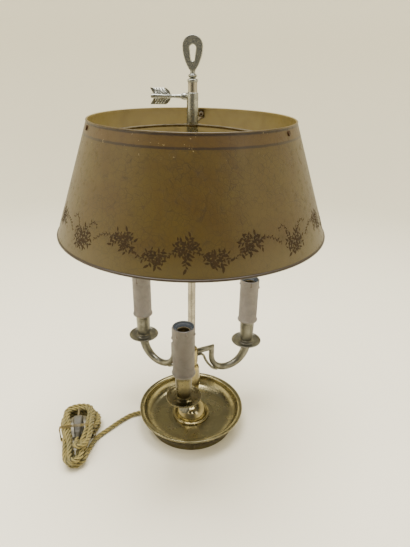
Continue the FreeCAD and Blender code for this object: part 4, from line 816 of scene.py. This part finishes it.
def strand_mesh(name, line, strands, lay_radius, strand_radius, pitch, sides=8, thin=1.0):
    """Twisted strands along a line, as one mesh with a map along and round each strand.

    The cord starts `thin` times as thick, where its bushing grips it, and swells in 14 mm."""
    frames = carried_frames(line)
    lengths = [0.0]
    for a, b in zip(line, line[1:]):
        lengths.append(lengths[-1] + (b - a).length)
    corners, faces, maps = [], [], []
    for strand in range(strands):
        base = len(corners)
        for point, (way, side, other), walked in zip(line, frames, lengths):
            thick = thin + (1.0 - thin) * ease(walked, 0.003, 0.017)
            angle = TURN * (walked / pitch + strand / strands)
            out = side * math.cos(angle) + other * math.sin(angle)
            lean = TURN * lay_radius / pitch
            cross = other * math.cos(angle) - side * math.sin(angle)
            along = (way + cross * lean).normalized()
            third = along.cross(out)
            middle = point + out * lay_radius * thick
            for k in range(sides):
                turn = TURN * k / sides
                corners.append(middle + (out * math.cos(turn) + third * math.sin(turn))
                               * strand_radius * thick)
        for ring in range(len(line) - 1):
            for k in range(sides):
                a = base + ring * sides + k
                b = base + ring * sides + (k + 1) % sides
                faces.append((a, b, b + sides, a + sides))
                (u0, u1), (v0, v1) = lengths[ring:ring + 2], (k / sides, (k + 1) / sides)
                maps.append(((u0, v0), (u0, v1), (u1, v1), (u1, v0)))
        last = base + (len(line) - 1) * sides
        for ring in (range(base + sides - 1, base - 1, -1), range(last, last + sides)):
            faces.append(tuple(ring))
            maps.append(((0.0, 0.0),) * sides)
    mesh = smooth_mesh(name, corners, faces)
    layer = mesh.uv_layers.new(name="Strand")
    layer.data.foreach_set("uv", [value for face in maps for pair in face for value in pair])
    return mesh

cord = mesh_piece("silk_cord", strand_mesh("silk_cord", cord_line, 3, CORD_DIAMETER * 0.35,
                                           CORD_DIAMETER * 0.30, CORD_LAY, thin=0.75),
                  silk_gold, "stand")
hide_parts("cord_run", "cord_hank")
print("cord mesh:", len(cord.data.polygons), "faces")

# %% [markdown]
# The tie is a few turns of thin twine round the hank's waist, drawn close to the outer turns.
# It follows a rounded box one twine outside the cord.

# %% Tie
TIE_HALF = 25.3
TIE_LOW = 0.9
TIE_HIGH = 26.6
TIE_CORNER = 3.4
TIE_TURNS = 4


def tie_line(turns, pitch):
    """Points of a twine wound round the waist, in the hank's frame."""
    flat = []
    for cx, cz, start in ((TIE_HALF - TIE_CORNER, TIE_LOW + TIE_CORNER, -90),
                          (TIE_HALF - TIE_CORNER, TIE_HIGH - TIE_CORNER, 0),
                          (-TIE_HALF + TIE_CORNER, TIE_HIGH - TIE_CORNER, 90),
                          (-TIE_HALF + TIE_CORNER, TIE_LOW + TIE_CORNER, 180)):
        for step in range(5):
            angle = math.radians(start + 22.5 * step)
            flat.append((cx + TIE_CORNER * math.cos(angle), cz + TIE_CORNER * math.sin(angle)))
    count = len(flat)
    return [in_hank(flat[i % count][0], pitch * (i / count - turns / 2), flat[i % count][1])
            for i in range(turns * count + 1)]


tie_mesh = strand_mesh("twine_tie", tie_line(TIE_TURNS, 1.5), 2, 0.00038, 0.00042, 0.0042,
                       sides=6)
tie = mesh_piece("twine_tie", tie_mesh, silk_tie, "stand")
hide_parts("cord_tie")

# %% [markdown]
# ## Wax drips
# Mock candles have runs of wax down their sides. Each drip is a narrow ridge that starts at
# the rim, thins, and ends in a bead. It is made as a small grid bent round the sleeve, deepest
# along its middle, with a back that lies just inside the sleeve's wall.

# %% Wax drips
SLEEVE_TOP = 0.2280
SLEEVE_FOOT = 0.1600
SLEEVE_RADIUS = 0.0136


def drip_grid(centre, angle, top, length, width, depth, bead):
    """Corners and faces of one drip on an upright cylinder."""
    rows, columns = 14, 6
    corners, faces = [], []
    for back in (False, True):
        for row in range(rows + 1):
            down = row / rows
            swell = bead * math.exp(-((down - 0.86) / 0.12) ** 2)
            taper = 1.0 - 0.45 * math.sin(math.pi * min(down / 0.8, 1.0))
            end = math.sqrt(max(0.0, 1.0 - max(0.0, (down - 0.86) / 0.14) ** 2))
            half = width * 0.5 * (taper + swell) * max(end, 0.02)
            for column in range(columns + 1):
                across = -1.0 + 2.0 * column / columns
                hump = math.sqrt(max(0.0, 1.0 - across * across))
                lift = -0.0002 if back else depth * hump * (0.55 + swell) * max(end, 0.02)
                reach = SLEEVE_RADIUS - 0.0001 + lift
                turn = angle + across * half / SLEEVE_RADIUS
                corners.append((centre[0] + reach * math.sin(turn),
                                centre[1] - reach * math.cos(turn), top - length * down))
    layer = (rows + 1) * (columns + 1)
    for row in range(rows):
        for column in range(columns):
            a = row * (columns + 1) + column
            b = a + columns + 1
            faces.append((a, b, b + 1, a + 1))
            faces.append((a + layer, a + layer + 1, b + layer + 1, b + layer))
    rim = ([column for column in range(columns)]
           + [row * (columns + 1) + columns for row in range(rows)]
           + [rows * (columns + 1) + column for column in range(columns, 0, -1)]
           + [row * (columns + 1) for row in range(rows, 0, -1)])
    for a, b in zip(rim, rim[1:] + rim[:1]):
        faces.append((a, b, b + layer, a + layer))
    return corners, faces


# Angle in degrees, drop of the start below the rim, length, width, depth, bead; millimetres
DRIPS = {
    "front": [(78, 0.5, 9, 3.6, 1.3, 0.9), (-80, 1, 17, 3.4, 1.2, 0.8), (20, 0.3, 6, 4.0, 0.8, 0.5),
              (-30, 0.3, 11, 2.6, 0.7, 0.6), (150, 0.5, 14, 3.4, 1.0, 0.8)],
    "left": [(85, 0.5, 8, 3.6, 1.2, 0.9), (-20, 0.3, 12, 3.0, 0.8, 0.6),
             (-100, 0.4, 15, 3.0, 1.0, 0.8), (170, 0.4, 9, 3.2, 0.9, 0.7)],
    "right": [(-78, 0.5, 7, 3.6, 1.2, 0.9), (96, 1, 15, 3.4, 1.3, 0.9), (10, 0.3, 8, 3.2, 0.7, 0.5),
              (-150, 0.5, 12, 3.2, 1.0, 0.8)],
}
for arm in ARMS:
    corners, faces = [], []
    for angle, drop, *sizes in DRIPS[arm]:
        points, quads = drip_grid(sleeve_centre(arm), math.radians(angle),
                                  SLEEVE_TOP - drop * 0.001, *(size * 0.001 for size in sizes[:3]),
                                  sizes[3])
        faces += [tuple(i + len(corners) for i in quad) for quad in quads]
        corners += points
    mesh_piece("wax_drips_" + arm, smooth_mesh("wax_drips_" + arm, corners, faces), wax_drip,
               "stand")
print("drips:", sum(len(drips) for drips in DRIPS.values()))

# %% [markdown]
# ## The painted garland
# A leafy swag runs round the foot of the shade: it hangs low between taller sprays. It is
# drawn flat first, as stems in millimetres along and up the shade, four times round. A
# Geometry Nodes tree then sets a leaf every few millimetres on alternate sides of each stem,
# gives the stems a thin section, and bends the flat drawing onto the cone.

# %% Stems of the garland
GARLAND_LEVEL = 0.350
GARLAND_RADIUS = SHADE_RADIUS - (GARLAND_LEVEL - SHADE_BOTTOM) * SHADE_SLOPE
REPEATS = 4
PERIOD = TURN * GARLAND_RADIUS * 1000 / REPEATS
def sprig(x, y, reaches):
    """Short drooping stems that spring from one point, each an angle and a length."""
    made = []
    for degrees, length in reaches:
        way = math.radians(degrees)
        droop = math.copysign(0.35, math.cos(way))
        made.append([(x + length * share * math.cos(way - droop * share),
                      y + length * share * math.sin(way - droop * share))
                     for share in (0.1, 0.4, 0.7, 1.0)])
    return made


# The tall sprig and its hanging tail, and the wide one halfway to the next, are drawn once
TALL = sprig(0, 3, [(90, 12), (62, 10), (118, 11), (30, 12), (152, 11), (-2, 10), (184, 11),
                    (-42, 7), (-140, 8)]) + [[(0, 1), (0.7, -5), (-0.3, -11), (0.2, -16)]]
WIDE = sprig(PERIOD / 2, -4, [(88, 14), (60, 13), (118, 14), (30, 14), (150, 13), (2, 14),
                              (178, 13), (-32, 11), (-148, 12), (-64, 9), (-116, 10)])
# The rest is drawn on both sides of the tall sprig
LOW = sprig(29.5, -6.5, [(78, 8), (118, 9), (40, 11), (158, 11), (4, 13), (-34, 10), (-76, 8),
                         (-124, 9), (192, 9)])
SPRAY = sprig(65, 6, [(96, 9), (64, 10), (128, 10), (26, 13), (164, 12), (-8, 14), (204, 15),
                      (-58, 8), (-112, 9), (228, 12)])
LINKS = [[(11, 1), (15, -3), (20, -5.5)], [(41, -8), (47, -7.5), (53, -3.5), (58, 0)],
         [(77, 7), (85, 8.5), (93, 5.5), (102, -1)], [(113, 9), (110, 14), (105, 16), (101, 13)]]
stems = []
for repeat in range(REPEATS):
    for drawn, sides, size in ((TALL + WIDE, (1,), 1.0), (LOW + SPRAY, (1, -1), 1.0),
                               (LINKS, (1, -1), 0.55)):
        for side in sides:
            for stem in drawn:
                stems.append((size, [(repeat * PERIOD + side * x, y) for x, y in stem]))
print("stems:", len(stems))

# %% [markdown]
# The leaf is a small closed lens, pointed at its far end. The tree instances it, so its dozen
# faces are written once.

# %% Leaf shape


def leaf_object():
    rim = [(0.0, 0.0), (0.25, 0.19), (0.62, 0.18), (1.0, 0.0), (0.62, -0.18), (0.25, -0.19)]
    corners = [(x, y, 0.0) for x, y in rim] + [(0.45, 0.0, 0.035), (0.45, 0.0, -0.02)]
    faces = []
    for index in range(6):
        after = (index + 1) % 6
        faces.append((index, 6, after))
        faces.append((index, after, 7))
    mesh = bpy.data.meshes.new("leaf")
    mesh.from_pydata(corners, [], faces)
    return bpy.data.objects.new("leaf", mesh)


leaf = leaf_object()
print("leaf faces:", len(leaf.data.polygons))

# %% [markdown]
# The tree bends the drawing at its end: the distance along the swag becomes an angle, the
# height along the paint becomes a radius and a level, and the small thickness stands square
# to the cone.

# %% Garland tree


def garland_tree():
    tree = bpy.data.node_groups.new("Garland", "GeometryNodeTree")
    sockets = {"Stems": "Geometry", "Leaf": "Object", "Seed": "Int", "Paint": "Material"}
    for label in ("Spacing", "Leaf Length", "Stem Radius", "Radius", "Level", "Lean"):
        sockets[label] = "Float"
    for label, kind in sockets.items():
        tree.interface.new_socket(label, in_out="INPUT", socket_type="NodeSocket" + kind)
    tree.interface.new_socket("Garland", in_out="OUTPUT", socket_type="NodeSocketGeometry")
    given = tree.nodes.new("NodeGroupInput").outputs
    result = tree.nodes.new("NodeGroupOutput")
    curve = add(tree, "GeometryNodeMeshToCurve", {"Mesh": given["Stems"]}).outputs[0]
    curve = add(tree, "GeometryNodeCurveSplineType", {"Curve": curve},
                spline_type="CATMULL_ROM").outputs[0]
    spots = add(tree, "GeometryNodeCurveToPoints", {"Curve": curve, "Length": given["Spacing"]},
                mode="LENGTH").outputs
    along = add(tree, "FunctionNodeAlignRotationToVector", {"Vector": spots["Tangent"]},
                axis="X", pivot_axis="Z").outputs[0]
    parity = calc(tree, "MODULO", tree.nodes.new("GeometryNodeInputIndex").outputs[0], 2.0)
    side = times(tree, minus(tree, parity, 0.5), 1.7)
    sway, grow = (add(tree, "FunctionNodeRandomValue", {2: least, 3: most, "Seed": given["Seed"]},
                      data_type="FLOAT").outputs[1]
                  for least, most in ((-0.35, 0.35), (0.55, 1.15)))
    spin = add(tree, "FunctionNodeEulerToRotation",
               {0: join(tree, z=plus(tree, side, sway))}).outputs[0]
    turned = add(tree, "FunctionNodeRotateRotation", {0: along, 1: spin},
                 rotation_space="LOCAL").outputs[0]
    share = add(tree, "GeometryNodeInputNamedAttribute", {"Name": "leaf_size"},
                data_type="FLOAT").outputs["Attribute"]
    size = times(tree, times(tree, grow, share), given["Leaf Length"])
    shape = add(tree, "GeometryNodeObjectInfo", {"Object": given["Leaf"]}).outputs["Geometry"]
    leaves = add(tree, "GeometryNodeInstanceOnPoints",
                 {"Points": spots["Points"], "Instance": shape, "Rotation": turned,
                  "Scale": size}).outputs[0]
    leaves = add(tree, "GeometryNodeRealizeInstances", {0: leaves}).outputs[0]
    outline = add(tree, "GeometryNodeCurvePrimitiveCircle",
                  {"Resolution": 4, "Radius": given["Stem Radius"]}).outputs[0]
    stalks = add(tree, "GeometryNodeCurveToMesh",
                 {"Curve": curve, "Profile Curve": outline, "Fill Caps": True}).outputs[0]
    both = add(tree, "GeometryNodeJoinGeometry", {0: leaves})
    tree.links.new(stalks, both.inputs[0])
    x, y, z = split(tree, tree.nodes.new("GeometryNodeInputPosition").outputs[0])
    angle = calc(tree, "DIVIDE", x, given["Radius"])
    lean_in = calc(tree, "SINE", given["Lean"])
    lean_up = calc(tree, "COSINE", given["Lean"])
    proud = plus(tree, times(tree, z, 0.5), 0.00006)
    reach = plus(tree, minus(tree, given["Radius"], times(tree, y, lean_in)),
                 times(tree, proud, lean_up))
    rise = plus(tree, plus(tree, given["Level"], times(tree, y, lean_up)),
                times(tree, proud, lean_in))
    bent = join(tree, times(tree, reach, calc(tree, "SINE", angle)),
                times(tree, times(tree, reach, calc(tree, "COSINE", angle)), -1.0), rise)
    placed = add(tree, "GeometryNodeSetPosition", {"Geometry": both.outputs[0],
                                                   "Position": bent}).outputs[0]
    painted = add(tree, "GeometryNodeSetMaterial", {"Geometry": placed,
                                                    "Material": given["Paint"]}).outputs[0]
    tree.links.new(painted, result.inputs[0])
    return tree


garland_nodes = garland_tree()
print("garland tree:", len(garland_nodes.nodes), "nodes")

# %% [markdown]
# The garland's brown paint is thin: where it has worn, it turns from a near-black brown to a
# rust brown.

# %% Garland
garland_paint = moulded("Garland paint", (0.023, 0.0140, 0.0055, 1), (0.034, 0.0200, 0.0075, 1),
                        0.006, 0.55, 0.7, Specular_IOR_Level=0.15)
drawing = bpy.data.meshes.new("garland")
corners, edges, sizes = [], [], []
for size, stem in stems:
    first = len(corners)
    corners += [(x * 0.001, y * 0.001, 0.0) for x, y in stem]
    edges += [(first + i, first + i + 1) for i in range(len(stem) - 1)]
    sizes += [size] * len(stem)
drawing.from_pydata(corners, edges, [])
drawing.attributes.new("leaf_size", "FLOAT", "POINT").data.foreach_set("value", sizes)
garland = show("garland", drawing)
grow_leaves = garland.modifiers.new("Garland", "NODES")
grow_leaves.node_group = garland_nodes
GARLAND_TURN = math.radians(4.0)
socket_of = {item.name: item.identifier for item in garland_nodes.interface.items_tree
             if item.in_out == "INPUT"}
for label, value in (("Leaf", leaf), ("Spacing", 0.0020), ("Leaf Length", 0.0062),
                     ("Stem Radius", 0.00026), ("Radius", GARLAND_RADIUS),
                     ("Level", GARLAND_LEVEL), ("Lean", math.atan(SHADE_SLOPE)), ("Seed", 5),
                     ("Paint", garland_paint)):
    grow_leaves[socket_of[label]] = value
finished = evaluated_mesh(garland)
garland.modifiers.remove(grow_leaves)
garland.data = finished
finished.transform(Matrix.Rotation(GARLAND_TURN, 4, "Z"))
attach(garland, "shade_assembly")
bpy.data.objects.remove(leaf)
print("garland:", len(finished.polygons), "faces")

# %% [markdown]
# ## The room
# The lamp stands on a plain pale sweep: a floor that curves up into a wall a long way off, so
# no edge shows. It is a warm white with painted shade: it greys towards the back, away from
# the light, and turns dark upwards and behind the camera, standing for a dim room. It is a
# part of the stage, not of the lamp.

# %% Stage


def sweep_mesh(radius, cove, height, steps=96):
    """A round floor that curves up into a wall."""
    outline = [(0.0001, 0.0), (radius * 0.5, 0.0), (radius, 0.0)]
    for step in range(1, 13):
        angle = math.radians(90 * step / 12)
        outline.append((radius + cove * math.sin(angle), cove * (1 - math.cos(angle))))
    outline.append((radius + cove, height))
    corners = []
    for reach, level in outline:
        for step in range(steps):
            angle = TURN * step / steps
            corners.append((reach * math.cos(angle), reach * math.sin(angle), level))
    faces = []
    for ring in range(len(outline) - 1):
        for step in range(steps):
            a = ring * steps + step
            b = ring * steps + (step + 1) % steps
            faces.append((a, a + steps, b + steps, b))
    faces.append(tuple(range(steps)))
    return smooth_mesh("floor", corners, faces)


paper, tree, shader, place = new_material("Pale paper", Specular_IOR_Level=0.2)
_, y, z = split(tree, place)
# Painted shade: the paper greys towards the back, and a dim room is painted behind the camera and
# up high.
paper_shading = mix_colours(tree, smooth_step(tree, y, -0.45, 1.7), (0.90, 0.850, 0.690, 1),
                    (0.62, 0.585, 0.445, 1))
dim_room = calc(tree, "MAXIMUM", smooth_step(tree, y, -0.9, -1.8),
                smooth_step(tree, z, 0.75, 1.9))
paper_shading = mix_colours(tree, dim_room, paper_shading, (0.17, 0.165, 0.150, 1))
finish_with(tree, shader, paper_shading, smooth_step(tree, noise(tree, place, 0.3), 0.3, 0.7, 0.75, 0.9))
floor = show("floor", sweep_mesh(1.3, 0.6, 2.5))
dress(floor, paper)
print("floor ready")

# %% [markdown]
# ## Light
# Soft light from above and from both sides, as in a plain room, with two small bright lamps
# behind the camera that the polished rim and the dome pick up as highlights.

# %% Lights


def soft_light(name, place, target, size, power):
    data = bpy.data.lights.new(name, "AREA")
    data.shape = "RECTANGLE"
    data.size, data.size_y = size
    data.energy = power
    data.color = (1.0, 0.97, 0.92)
    light = show(name, data)
    way = Vector(target) - Vector(place)
    light.matrix_world = (Matrix.Translation(place)
                          @ way.to_track_quat("-Z", "Y").to_matrix().to_4x4())


for light in (
        ("ceiling", (-0.1, 0.20, 2.1), (0, 0, 0), (2.0, 1.3), 116.0),
        ("left window", (-1.5, -0.6, 1.6), (0, 0, 0.1), (0.7, 1.0), 8.0),
        ("right window", (1.4, -0.9, 1.5), (0, 0, 0.1), (0.5, 0.8), 4.5),
        ("small left lamp", (-0.42, -1.35, 1.75), (0, 0, 0.05), (0.12, 0.12), 2.4),
        ("small right lamp", (0.46, -1.25, 1.75), (0, 0, 0.05), (0.12, 0.12), 2.4)):
    soft_light(*light)
world = bpy.data.worlds.new("Room")
bpy.context.scene.world = world
world.use_nodes = True
backdrop = world.node_tree.nodes["Background"]
backdrop.inputs["Color"].default_value = (0.92, 0.93, 0.90, 1)
backdrop.inputs["Strength"].default_value = 0.30
print("lights:", len(bpy.data.lights))
